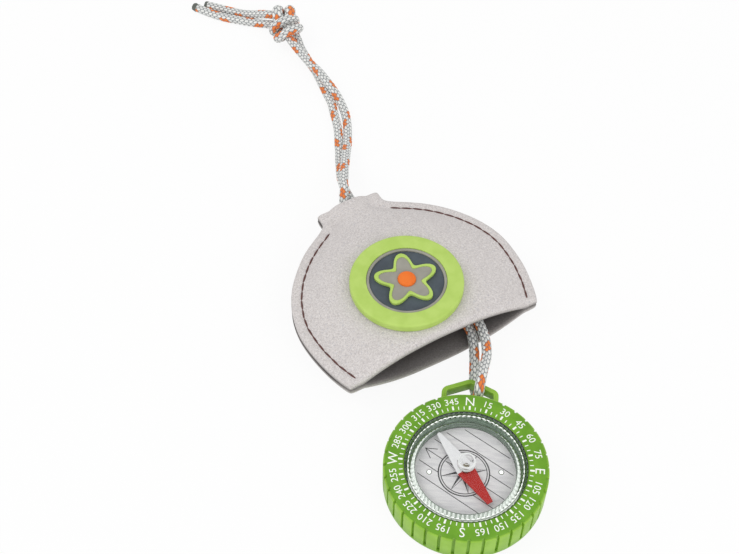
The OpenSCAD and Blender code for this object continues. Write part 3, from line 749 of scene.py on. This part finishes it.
def braided_tube(path, start_at, closed=False, radius=CORD_D / 2, melted=0.0):
    """A bmesh of a braided cord along a path, with its lay in a UV map: once round, and millimetres along.

    The last millimetres may be melted: smooth in colour and dark, like the cut end itself."""
    count = len(path)
    headings = []
    for k in range(count):
        ahead = path[(k + 1) % count] if closed else path[min(k + 1, count - 1)]
        behind = path[k - 1] if closed else path[max(k - 1, 0)]
        headings.append((ahead - behind).normalized())
    side = headings[0].orthogonal().normalized()
    sides = []
    for heading in headings:
        side = (side - heading * side.dot(heading)).normalized()
        sides.append(side)
    turn = 0.0
    if closed:
        last = (sides[-1] - headings[0] * sides[-1].dot(headings[0])).normalized()
        turn = math.atan2(headings[0].dot(last.cross(sides[0])), last.dot(sides[0]))
    bm = bmesh.new()
    lay = bm.loops.layers.uv.new("braid")
    step = route_length(path) / max(1, count - 1)
    rings = []
    for k, (middle, heading, side) in enumerate(zip(path, headings, sides)):
        along = start_at + k * step
        across = heading.cross(side)
        end = 1.0
        if not closed:
            rest = min(k, count - 1 - k) * step / (radius * END_CURVE)
            end = math.sqrt(max(0.0, 1 - (1 - min(1.0, rest)) ** 2)) * (1 - END_SHARE) + END_SHARE
        ring = []
        for m in range(CORD_SIDES):
            angle = 2 * math.pi * m / CORD_SIDES + turn * k / count
            reach = (radius - GAP_DEPTH + GRAIN_RISE * yarn_height(m / CORD_SIDES, along)) * end
            ring.append(bm.verts.new(middle + (side * math.cos(angle) + across * math.sin(angle)) * reach))
        rings.append((ring, along))
    pairs = list(zip(rings, rings[1:]))
    if closed:
        pairs.append((rings[-1], (rings[0][0], rings[-1][1] + step)))
    tip_at = rings[-1][1] - melted if melted else math.inf
    for (low, low_at), (high, high_at) in pairs:
        if high_at > tip_at:
            low_at = high_at = CUT_END
        for m in range(CORD_SIDES):
            n = (m + 1) % CORD_SIDES
            face = bm.faces.new((low[m], low[n], high[n], high[m]))
            edge = [m / CORD_SIDES, (m + 1) / CORD_SIDES, (m + 1) / CORD_SIDES, m / CORD_SIDES]
            for loop, around, at in zip(face.loops, edge, (low_at, low_at, high_at, high_at)):
                loop[lay].uv = (around, at)
    if not closed:
        for ring, at, flip in ((rings[0][0], rings[0][1], True), (rings[-1][0], rings[-1][1], False)):
            centre = bm.verts.new(sum((v.co for v in ring), Vector()) / CORD_SIDES)
            for m in range(CORD_SIDES):
                n = (m + 1) % CORD_SIDES
                face = bm.faces.new((ring[n], ring[m], centre) if flip else (ring[m], ring[n], centre))
                for loop in face.loops:
                    loop[lay].uv = (m / CORD_SIDES, CUT_END)
    return bm


def make_cord(finish):
    """The cord's five runs and its knot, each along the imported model's own route."""
    knot = make_knot(finish)
    runs = [
        ("cord_loop_braid", "cord_loop", LOOP_ROUTE, "object", [], 0.0),
        ("cord_strand_left_braid", "cord_strand_left", STRAND_LEFT_ROUTE, "knot", [knot], 0.0),
        ("cord_strand_right_braid", "cord_strand_right", STRAND_RIGHT_ROUTE, "knot", [], 0.0),
        ("cord_tail_long_braid", "cord_tail_long", TAIL_LONG_ROUTE, "bare", [], 1.9),
        ("cord_tail_short_braid", "cord_tail_short", TAIL_SHORT_ROUTE, "bare", [], 1.0),
    ]
    for number, (name, node, route, far_end, on_it, melted) in enumerate(runs):
        path = smooth_route(route, RING_STEP)
        tube = braided_tube(path, number * RUN_SHIFT, melted=melted)
        run = finish_piece(tube, name, finish, "compass", CORD_SMOOTH)
        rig.replaces(run, node)
        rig.slot(run, "cord_braid")
        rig.cord(
            run, exit=Vector(route[0]) * MM, length=route_length(path) * MM, diameter=CORD_D * MM,
            far_end=far_end, stiffness="limp", lay="loose",
            path=[p * MM for p in path[::5]] + [path[-1] * MM],
            with_pieces=on_it,
        )


KNOT_AT = Vector((-75.0, 176.1, 4.7))
TURN_POINTS = 16


def knot_turn(shift, turn, wide, high, lean):
    """The route of one closed turn of the knot, about a level axis at an angle from +X."""
    place = Matrix.Translation(KNOT_AT + Vector(shift)) @ Matrix.Rotation(math.radians(turn), 4, "Z")
    angles = [2 * math.pi * k / TURN_POINTS for k in range(TURN_POINTS)]
    return [place @ Vector((lean * math.sin(a), wide * math.cos(a), high * math.sin(a))) for a in angles]


def make_knot(finish):
    """The knot: two wraps across the doubled cord, two lobes beside them, and the cord through its middle."""
    turns = [
        (knot_turn((-0.3, -1.0, 0.1), -53, 4.5, 3.1, 0.9), 1.6),
        (knot_turn((1.9, -5.5, 0.6), -50, 4.4, 2.8, 2.2), 1.55),
        (knot_turn((-2.5, 2.2, 0.3), 10, 3.2, 2.7, -0.5), 2.0),
        (knot_turn((1.0, 2.6, 0.4), 10, 3.0, 2.6, 0.5), 2.0),
    ]
    bm = bmesh.new()
    for number, (route, thick) in enumerate(turns):
        path = smooth_route(route, RING_STEP, closed=True)
        merge_in(bm, braided_tube(path, number * TURN_SHIFT, closed=True, radius=thick))
    through = [(-72.2, 169.4, 4.8), (-73.6, 172.6, 4.9), (-75.0, 175.6, 4.8), (-76.6, 178.2, 4.6)]
    merge_in(bm, braided_tube(smooth_route(through, RING_STEP), CORE_SHIFT, radius=1.9))
    knot = finish_piece(bm, "cord_knot_turns", finish, "compass", CORD_SMOOTH)
    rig.replaces(knot, "cord_knot")
    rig.slot(knot, "cord_braid")
    return knot


# Felt pouch


POUCH_HALF, POUCH_BELLY, POUCH_LEN, NECK_HALF = 35.8, 21.8, 60.7, 9.8
MOUTH_DROP, SHOULDER_REACH, SHOULDER_POWER, NECK_BLEND = 1.236, 0.966, 1.84, 2 * POUCH_HALF * 0.082
FELT_T, ROOM_HALF, CHANNEL_HALF, CHANNEL_ROOM = 2.6, 5.5, 6.2, 1.8
SEAM_INSET, SEAM_MARGIN, SEAM_Z = 3.2, 4.0, 8.1
POUCH_PLACE = Matrix.Translation((-7.8, 38.9, SEAM_Z)) @ Matrix.Rotation(math.radians(34.8), 4, "Z")
FELT_COLUMNS, FELT_ROWS, FELT_SMOOTHINGS = 60, 48, 7
VALLEY_DEPTH, VALLEY_HALF = 0.3, 0.95  # the dip that the stitches pull into the felt
SIDE_ROUND, END_ROUND = (0.75, 1.5), (0.45, 1.3)  # drop and reach of the felt's rounded side and end edges
DRIFT = 0.2  # unevenness of the felt


def ease(value, low, high):
    t = min(1.0, max(0.0, (value - low) / (high - low)))
    return t * t * (3 - 2 * t)


def bell_half(v):
    """Half width of the felt's outline at a distance from the mouth."""
    if v < POUCH_BELLY:
        bell = POUCH_HALF * math.sqrt(1 - ((POUCH_BELLY - v) / (POUCH_HALF * MOUTH_DROP)) ** 2)
    else:
        fall = min(1.0, (v - POUCH_BELLY) / (POUCH_HALF * SHOULDER_REACH))
        bell = POUCH_HALF * (1 - fall**SHOULDER_POWER) ** (1 / SHOULDER_POWER)
    return (bell + NECK_HALF + math.sqrt((bell - NECK_HALF) ** 2 + NECK_BLEND**2)) / 2


def edge_slope(v):
    return (bell_half(v + 0.1) - bell_half(v - 0.1)) / 0.2


def edge_slant(v):
    """How much longer a line across the felt's edge gets where the edge runs aslant."""
    return min(2.4, math.hypot(1, (bell_half(v + 2.7) - bell_half(v - 2.7)) / 5.4))


def felt_height(u, v, outside):
    """Height of the felt's inner or outer skin over the seam's plane."""
    room = ROOM_HALF + (CHANNEL_ROOM - ROOM_HALF) * ease(v, POUCH_LEN * 0.6, POUCH_LEN * 0.9)
    slant = edge_slant(v)
    wide = max(CHANNEL_HALF, bell_half(v) - SEAM_MARGIN * slant)
    into = ease(v, 0, POUCH_LEN * 0.22)
    if outside:
        wide = min(wide + 1.2, bell_half(v) - 4.1 * slant)
        share = min(1.0, abs(u) / wide)
        return FELT_T + room * (1 - share ** (2.4 + 0.9 * into)) ** (1 + 0.25 * into)
    share = min(1.0, abs(u) / wide)
    return room * (1 - share ** (2.4 + 2.8 * into))


def seam_place(v):
    """The point of the right seam that lies square across from the felt's edge at v."""
    slope = edge_slope(v)
    long = math.hypot(1, slope)
    return Vector((bell_half(v) - SEAM_INSET / long, v + SEAM_INSET * slope / long, 0))


def edge_distance(u, v):
    """About how far a point of the felt lies from its side edge."""
    return (bell_half(v) - abs(u)) / math.hypot(1, edge_slope(max(0.2, v)))


def felt_panel(name, node, face, finish):
    """One felt of the pouch: an inner and an outer skin over the same outline, with rounded cut edges."""
    bm = bmesh.new()
    tint = bm.verts.layers.float.new("inside")
    bmesh.ops.create_grid(bm, x_segments=FELT_COLUMNS, y_segments=FELT_ROWS, size=1)
    made = bmesh.ops.extrude_face_region(bm, geom=bm.faces[:], use_keep_orig=True)
    outer = {e for e in made["geom"] if isinstance(e, bmesh.types.BMVert)}
    rim = {vert for vert in bm.verts if abs(vert.co.x) > 0.999 or abs(vert.co.y) > 0.999}
    for vert in bm.verts:
        s, t = vert.co.x, (vert.co.y + 1) / 2
        v = POUCH_LEN * (0.86 * t + 0.07 * (1 - math.cos(math.pi * t)))
        u = bell_half(v) * (0.62 * s + 0.38 * math.sin(math.pi * s / 2))
        vert.co = (u, v, felt_height(u, v, vert in outer))
    soft = [vert for vert in outer if vert not in rim]
    for _ in range(FELT_SMOOTHINGS):
        bmesh.ops.smooth_vert(bm, verts=soft, factor=0.5, use_axis_x=False, use_axis_y=False, use_axis_z=True)
    for vert in outer:
        u, v, high = vert.co
        edge = edge_distance(u, v)
        sewn = ease(v, 0, 3) * (1 - ease(v, POUCH_LEN * 0.88, POUCH_LEN * 0.95))
        valley = VALLEY_DEPTH * math.exp(-(((edge - SEAM_INSET) / VALLEY_HALF) ** 2)) * sewn
        rounds = ((edge, SIDE_ROUND), (v, END_ROUND), (POUCH_LEN - v, END_ROUND))
        edge_fall = sum(drop * max(0.0, 1 - away / reach) ** 2 for away, (drop, reach) in rounds)
        vert.co.z = high - valley - edge_fall
    for vert in bm.verts:
        u, v, high = vert.co
        drift = DRIFT * noise.noise(Vector((u * 0.09, v * 0.09, face * 7.0)))
        # Painted shade: the inner skin is marked for darkening, more so deeper from the mouth; the outer skin is not.
        vert[tint] = 0.0 if vert in outer else 0.72 + 0.28 * ease(v, 0, 8)
        vert.co = (u + drift, v - drift * ease(v, 1, 6), (high + drift * ease(high, 1, 4)) * face)
    bmesh.ops.recalc_face_normals(bm, faces=bm.faces)
    skin = BVHTree.FromBMesh(bm)
    bmesh.ops.transform(bm, matrix=POUCH_PLACE, verts=bm.verts)
    panel = finish_piece(bm, name, finish, "pouch", 180)
    round_off = panel.modifiers.new("rounding", "SUBSURF")
    round_off.levels = round_off.render_levels = 1
    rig.replaces(panel, node)
    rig.slot(panel, "felt_front" if face > 0 else "felt_back")
    strips = 200
    area = sum(bell_half(POUCH_LEN * (k + 0.5) / strips) * 2 * POUCH_LEN / strips for k in range(strips))
    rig.sheet(panel, flat=(2 * bell_half(POUCH_BELLY) * MM, POUCH_LEN * MM), held="laid", area=area * MM * MM)
    return skin


STITCH_PITCH = 3.25
STITCH_START = 2.24  # distance of the first stitch from the mouth
STITCH_LONG, STITCH_WIDE, STITCH_HIGH = STITCH_PITCH * 0.55, 0.3, 0.26  # a stitch's half sizes


def make_stitches(finish, skins):
    """Both seams' stitches on both felts: long thin threads that dip into the felt at their ends."""
    places, v = [], STITCH_START
    while v < POUCH_LEN * 0.9:
        places.append(v)
        v += STITCH_PITCH * 0.2 / (seam_place(v + 0.2) - seam_place(v)).length
    for side, node in ((1, "seam_thread_right"), (-1, "seam_thread_left")):
        bm = bmesh.new()
        for face, skin in zip((1, -1), skins):
            for v in places:
                middle = seam_place(v)
                ahead = seam_place(v + 0.2) - seam_place(v - 0.2)
                hit = skin.ray_cast(Vector((middle.x * side, middle.y, 40 * face)), Vector((0, 0, -face)))[0]
                made = bmesh.ops.create_uvsphere(bm, u_segments=10, v_segments=11, radius=1)
                for vert in made["verts"]:
                    along = vert.co.z
                    dip = 0.12 * along**4
                    vert.co = (along * STITCH_LONG, vert.co.x * STITCH_WIDE, vert.co.y * STITCH_HIGH - dip)
                turn = Matrix.Rotation(math.atan2(ahead.y, ahead.x) + 0.04 * math.sin(v * 3), 4, "Z")
                at = Matrix.Translation((middle.x, middle.y, abs(hit.z) + 0.1))
                flip = Matrix.Diagonal((side, 1, face, 1))
                bmesh.ops.transform(bm, matrix=POUCH_PLACE @ flip @ at @ turn, verts=made["verts"])
        bmesh.ops.recalc_face_normals(bm, faces=bm.faces)
        thread = finish_piece(bm, node + "_stitches", finish, "pouch", 60)
        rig.replaces(thread, node)
        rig.slot(thread, "seam_thread")


# Printed marks


FACE_Z, DIAL_Z = 10.0, 5.6
# The ticks' inner radius, then the outer radius and width of the long and of the short ones
TICK_IN, LONG_TICK, SHORT_TICK = 17.22, (18.45, 0.52), (18.2, 0.24)
LABEL_R, LETTER_SIZE, NUMBER_SIZE = 19.9, 3.75, 2.75


def make_scale(finish):
    """The printed scale of the face: a tick every five degrees and a label every fifteen."""
    bm = bmesh.new()
    for k in range(72):
        angle = math.radians(k * 5)
        out = Vector((math.sin(angle), math.cos(angle)))
        outer, width = LONG_TICK if k % 3 == 0 else SHORT_TICK
        add_bar(bm, out * TICK_IN, out * outer, width, FACE_Z - 0.02, FACE_Z + 0.04)
    for k in range(24):
        label = {0: "N", 6: "E", 12: "S", 18: "W"}.get(k, str(k * 15))
        angle = math.radians(k * 15)
        word = word_shape(label, LETTER_SIZE if k % 6 == 0 else NUMBER_SIZE, 0.06)
        place = Matrix.Translation((LABEL_R * math.sin(angle), LABEL_R * math.cos(angle), FACE_Z + 0.01))
        merge_in(bm, word, place @ Matrix.Rotation(-angle, 4, "Z"))
    marks = finish_piece(bm, "scale_marks", finish, "compass", 30)
    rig.slot(marks, "lime_case")


def add_kite_half(bm, middle, side, tip, low, high):
    """Adds one printed half of a star's point, as a thin three-cornered plate."""
    face = bm.faces.new([bm.verts.new((p.x, p.y, low)) for p in (middle, side, tip)])
    grown = bmesh.ops.extrude_face_region(bm, geom=[face], use_keep_orig=True)
    lifted = [e for e in grown["geom"] if isinstance(e, bmesh.types.BMVert)]
    bmesh.ops.translate(bm, verts=lifted, vec=(0, 0, high - low))


LINE_OFFSETS = (-8.05, -4.5, -0.5, 3.3, 7.0, 10.8)
DIAL_MIDDLE = Vector((-0.35, -0.3))
DIAL_EDGE, CIRCLE_R, STAR_R, STAR_WAIST_R = 13.4, 6.95, 6.25, 1.9
DIAL_TURN = 148.7  # degrees from +X to the arrow
LINE_WIDE, STAR_LINE_WIDE = 0.2, 0.12
BARB_LONG, BARB_ASIDE = 2.9, 1.75


def make_dial_print(finish):
    """The dial's print: lines along the arrow, the arrow, a double circle and an eight-point star."""
    low, high = DIAL_Z - 0.01, DIAL_Z + 0.03
    heading = math.radians(DIAL_TURN)
    run = Vector((math.cos(heading), math.sin(heading)))
    across = Vector((run.y, -run.x))
    bm = bmesh.new()
    for place in LINE_OFFSETS:
        offset = across * place
        reach = math.sqrt(DIAL_EDGE**2 - place**2) - 0.4
        inner = math.sqrt(max(0.0, CIRCLE_R**2 - (place - across.dot(DIAL_MIDDLE)) ** 2))
        middle = run.dot(DIAL_MIDDLE)
        if inner > 0:
            add_bar(bm, offset - run * reach, offset + run * (middle - inner), LINE_WIDE, low, high)
            add_bar(bm, offset + run * (middle + inner), offset + run * reach, LINE_WIDE, low, high)
        else:
            add_bar(bm, offset - run * reach, offset + run * reach, LINE_WIDE, low, high)
    tip = across * -0.5 + run * (DIAL_EDGE - 0.5)
    for side in (-1, 1):
        add_bar(bm, tip, tip - run * BARB_LONG + across * side * BARB_ASIDE, LINE_WIDE, low, high)
    rings = bmesh.new()
    add_band(rings, CIRCLE_R, 0.34, low, high)
    add_band(rings, CIRCLE_R - 0.64, 0.23, low, high)
    merge_in(bm, rings, Matrix.Translation((DIAL_MIDDLE.x, DIAL_MIDDLE.y, 0)))
    for k in range(8):
        angle = heading + k * math.pi / 4
        ray = Vector((math.cos(angle), math.sin(angle)))
        point = DIAL_MIDDLE + ray * STAR_R
        sides = [
            DIAL_MIDDLE + Vector((math.cos(angle + turn), math.sin(angle + turn))) * STAR_WAIST_R
            for turn in (math.pi / 8, -math.pi / 8)
        ]
        add_kite_half(bm, DIAL_MIDDLE, sides[1], point, low, high)
        add_bar(bm, sides[0], point, STAR_LINE_WIDE, low, high)
        add_bar(bm, DIAL_MIDDLE, sides[0], STAR_LINE_WIDE, low, high)
    bmesh.ops.recalc_face_normals(bm, faces=bm.faces)
    ink = finish_piece(bm, "dial_marks", finish, "capsule", 30)
    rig.slot(ink, "dial_print")


# Clear capsule


RIB_COUNT = 72
FLOOR_Z, INNER_TOP_Z, OUTER_TOP_Z = 5.45, 8.1, 9.12  # the floor, and the tops of the two inner walls
INNER_WALL_R, OUTER_WALL_R = 13.9, 15.7
PIN_OUT, PIN_TURN = 9.8, 5.5  # the dial's two pins: distance from the middle, and degrees from the X axis
PIN_HEAD = [(0.02, 5.61), (0.58, 5.61), (0.5, 5.66), (0.02, 5.66)]
BEAD = [(2.36, 12.3), (2.42, 12.4), (2.3, 12.46), (2.02, 12.46), (1.96, 12.4), (2.0, 12.34)]


def round_rack(bm, radius, deep, width, low, high, taper=1.0, drop=0.0):
    """Adds upright ribs all round a radius, each with a narrower top that may fall away outwards."""
    for k in range(RIB_COUNT):
        turn = Matrix.Rotation(2 * math.pi * k / RIB_COUNT, 4, "Z")
        at = Matrix.Translation((0, radius + deep / 2, (low + high) / 2))
        made = bmesh.ops.create_cube(bm, size=1, matrix=Matrix.Diagonal((width, deep, high - low, 1)))
        for vert in made["verts"]:
            if vert.co.z > 0:
                vert.co.x *= taper
                vert.co.z -= drop if vert.co.y > 0 else 0.0
        bmesh.ops.transform(bm, matrix=turn @ at, verts=made["verts"])


def wall_plastic():
    """The capsule's inner wall, painted opaque: grey-green, the plastic's tint darkened with painted shade for the
    shaded chamber seen through it, in thin darker and paler bands, with pale streaks of painted highlight and a band
    of painted shade at its foot.
    """
    f = Finish("wall_plastic", Specular_IOR_Level=0.5)
    where = f.place()
    z = f.parts(where)[2]
    shade = f.speckle(f.mapped(where, Scale=(0.35, 0.35, 5.0)), 1.1, 3)
    depth = z + shade * 0.5
    # Painted shade: darker and paler grey-green bands up the wall.
    wall = f.blend((depth * 7.0).cos() * 0.5 + 0.5, tone(64, 86, 68), tone(100, 122, 102))
    # Painted highlight: pale streaks.
    wall = f.blend(shade.ease(0.52, 0.62) * 0.5, wall, tone(168, 188, 172))
    # Painted shade: a dark band at the foot of the wall, by the dial.
    wall = f.blend((5.95 - z).ease(0.0, 0.14), wall, tone(46, 58, 50))
    f.colour(wall)
    f.rough(0.2 + shade * 0.15)
    return f


def make_capsule_details():
    """What shows in the clear capsule, painted opaque: its toothed rim in grey-green painted shade, its lined walls
    with pale backs, the ribs and the dial's pins in painted highlight that also glows, a paler grey ring with a weaker
    glow between the walls, and dark rings of painted shade in the rim's gaps.
    """
    wall = wall_plastic()
    # Painted highlight with a painted glow: the clear ribs, backs and pins shown white, as lit through.
    pale = tinted_plastic("pale_plastic", tone(243, 245, 243), tone(226, 231, 227), 1.0, 0.3, 0.6)
    # Painted light: a pale grey with a weaker painted glow, for the ring between the walls.
    misty_glow = tinted_plastic("misty_plastic", tone(204, 209, 204), tone(182, 189, 183), 1.0, 0.3, 0.2)
    # Painted shade: dark rings standing in for the shade in the rim's gaps.
    dark = tinted_plastic("dark_plastic", tone(44, 54, 48), tone(30, 40, 34), 1.0)
    # Painted shade: the clear teeth shown grey-green, as shaded.
    toothed = tinted_plastic("toothed_plastic", tone(104, 118, 108), tone(76, 90, 82), 1.0)

    teeth = bmesh.new()
    round_rack(teeth, 16.5, 0.22, 0.8, 8.9, 9.55, 0.8)
    lined = ring_section(INNER_WALL_R - 0.07, INNER_WALL_R, FLOOR_Z, INNER_TOP_Z + 0.16)
    merge_in(lined, ring_section(OUTER_WALL_R - 0.08, OUTER_WALL_R, FLOOR_Z, OUTER_TOP_Z))
    gap_shade_rings = ring_section(16.73, 16.8, 8.6, 9.72)
    merge_in(gap_shade_rings, ring_section(16.04, 16.14, 9.18, 9.25))
    backs = ring_section(OUTER_WALL_R, OUTER_WALL_R + 0.08, FLOOR_Z, OUTER_TOP_Z)
    round_rack(backs, INNER_WALL_R + 0.07, 0.95, 0.6, FLOOR_Z, INNER_TOP_Z, 0.8, 1.7)
    round_rack(backs, 15.6, 0.2, 0.72, 9.14, 9.27)
    turned = Matrix.Rotation(math.radians(PIN_TURN), 4, "Z")
    for side in (-1, 1):
        merge_in(backs, turned_shape(PIN_HEAD, 32, turned @ Vector((PIN_OUT * side, 0, 0))))
    between = ring_section(INNER_WALL_R, INNER_WALL_R + 0.07, FLOOR_Z, INNER_TOP_Z)
    for shape, name, finish in (
        (teeth, "capsule_rim_teeth", toothed),
        (lined, "capsule_wall_lines", wall),
        (gap_shade_rings, "capsule_rim_gap", dark),
        (backs, "capsule_wall_ribs", pale),
        (between, "capsule_wall_back", misty_glow),
    ):
        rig.slot(finish_piece(shape, name, finish, "capsule", 30), "clear_capsule")

    # Painted highlight: a white bead round the clear button's rim and a thin ring within it, standing in for the
    # bright rim and circles of the clear button.
    button_highlight = tinted_plastic("frosted_plastic", tone(252, 253, 252), tone(236, 240, 238), 0.72)
    bead = turned_shape(BEAD, 64)
    merge_in(bead, ring_section(1.16, 1.3, 12.38, 12.43, 64))
    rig.slot(finish_piece(bead, "button_bead", button_highlight, "capsule", 30), "clear_lens")


# The whole part


def dress(node, finish):
    """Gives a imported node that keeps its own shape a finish."""
    obj = frame["nodes"][node]
    obj.data.materials.clear()
    obj.data.materials.append(finish.material)


def replace_softened(node, finish, width, body, slot, segments=2):
    """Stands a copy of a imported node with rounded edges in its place."""
    piece = finish_piece(softened_copy(node, width, segments), node + "_shape", finish, body, 40)
    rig.replaces(piece, node)
    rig.slot(piece, slot)


def lay_floor():
    """A white studio floor that stays white in the picture but keeps the part's soft shadow."""
    finish = Finish("studio_floor", Roughness=0.9, Base_Color=(0.9, 0.9, 0.9, 1), Specular_IOR_Level=0.1)
    path = finish.node("ShaderNodeLightPath").outputs
    glow = finish.node("ShaderNodeEmission", {}, {"Color": (1, 1, 1, 1), "Strength": 1.0})
    seen = sum(Value(finish, path[kind]) for kind in VIEW_RAYS)
    finish.mix_surface(seen.clamp() * 0.91, glow)
    ground = bmesh.new()
    bmesh.ops.create_grid(ground, x_segments=1, y_segments=1, size=3)
    bmesh.ops.translate(ground, verts=ground.verts, vec=(0, 0, -0.0002))
    mesh = bpy.data.meshes.new("studio_floor")
    ground.to_mesh(mesh)
    ground.free()
    mesh.materials.append(finish.material)
    floor = bpy.data.objects.new("studio_floor", mesh)
    bpy.context.scene.collection.objects.link(floor)
    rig.stage(floor)


def light_world(lighting, seen):
    """A plain white world, with one strength as light and another where it is seen."""
    world = bpy.data.worlds.new("studio")
    bpy.context.scene.world = world
    world.use_nodes = True
    nodes, link = world.node_tree.nodes, world.node_tree.links.new
    nodes.clear()
    mix = nodes.new("ShaderNodeMixShader")
    for number, strength in enumerate((lighting, seen)):
        ground_light = nodes.new("ShaderNodeBackground")
        ground_light.inputs["Color"].default_value = (1, 1, 1, 1)
        ground_light.inputs["Strength"].default_value = strength
        link(ground_light.outputs[0], mix.inputs[1 + number])
    path = nodes.new("ShaderNodeLightPath")
    seen_by = path.outputs[VIEW_RAYS[0]]
    for kind in VIEW_RAYS[1:]:
        either = nodes.new("ShaderNodeMath")
        either.operation = "MAXIMUM"
        link(seen_by, either.inputs[0])
        link(path.outputs[kind], either.inputs[1])
        seen_by = either.outputs[0]
    link(seen_by, mix.inputs[0])
    link(mix.outputs[0], nodes.new("ShaderNodeOutputWorld").inputs["Surface"])


set_camera()
cord = braided_cord()
make_cord(cord)

felt = pressed_felt()
front = felt_panel("pouch_front_felt", "pouch_front", 1, felt)
back = felt_panel("pouch_back_felt", "pouch_back", -1, felt)
make_stitches(sewing_thread(), (front, back))

lime = lime_plastic()
replace_softened("case_ring", lime, 0.13, "compass", "lime_case")
dress("case_back", lime)
make_scale(scale_print())

dress("capsule_body", tinted_plastic("clear_capsule", tone(158, 178, 162), tone(130, 150, 134), 0.14, 0.08))
dress("capsule_lens", clear_plastic("clear_lens", tone(252, 253, 252)))
make_capsule_details()
dress("dial_plate", dial_card())
make_dial_print(printing_ink())
dress("pivot_pin", turned_metal("pivot_steel", tone(190, 190, 194), tone(140, 140, 146)))
dress("needle_cup", turned_metal("cup_brass", tone(178, 168, 146), tone(126, 116, 96)))
dress("needle_strip", needle_lacquer())

lime_rubber = soft_rubber("lime_rubber", tone(186, 214, 110), tone(176, 206, 98))
replace_softened("badge_base", lime_rubber, 0.12, "pouch", "lime_rubber")
dress("badge_field", soft_rubber("slate_rubber", tone(78, 88, 96), tone(68, 76, 84)))
grey_rubber = soft_rubber("grey_rubber", tone(160, 158, 148), tone(148, 146, 136))
replace_softened("badge_ring", grey_rubber, 0.15, "pouch", "grey_rubber")
replace_softened("badge_outline", lime_rubber, 0.28, "pouch", "lime_rubber", segments=3)
dress("badge_petals", grey_rubber)
dress("badge_button", soft_rubber("orange_rubber", tone(240, 122, 40), tone(232, 108, 28)))

lay_floor()
light_world(0.76, 0.9)
add_softbox("key_light", (-0.6, -0.02, 0.75), 0.45, 1.6)
add_softbox("fill_light", (0.5, -0.62, 0.55), 0.6, 2.5)

bpy.context.scene.view_settings.view_transform = "Standard"

with open("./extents.json", "w") as sizes:
    json.dump({"cad": cad_box, "visual": [list(corner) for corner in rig.bounds()]}, sizes)
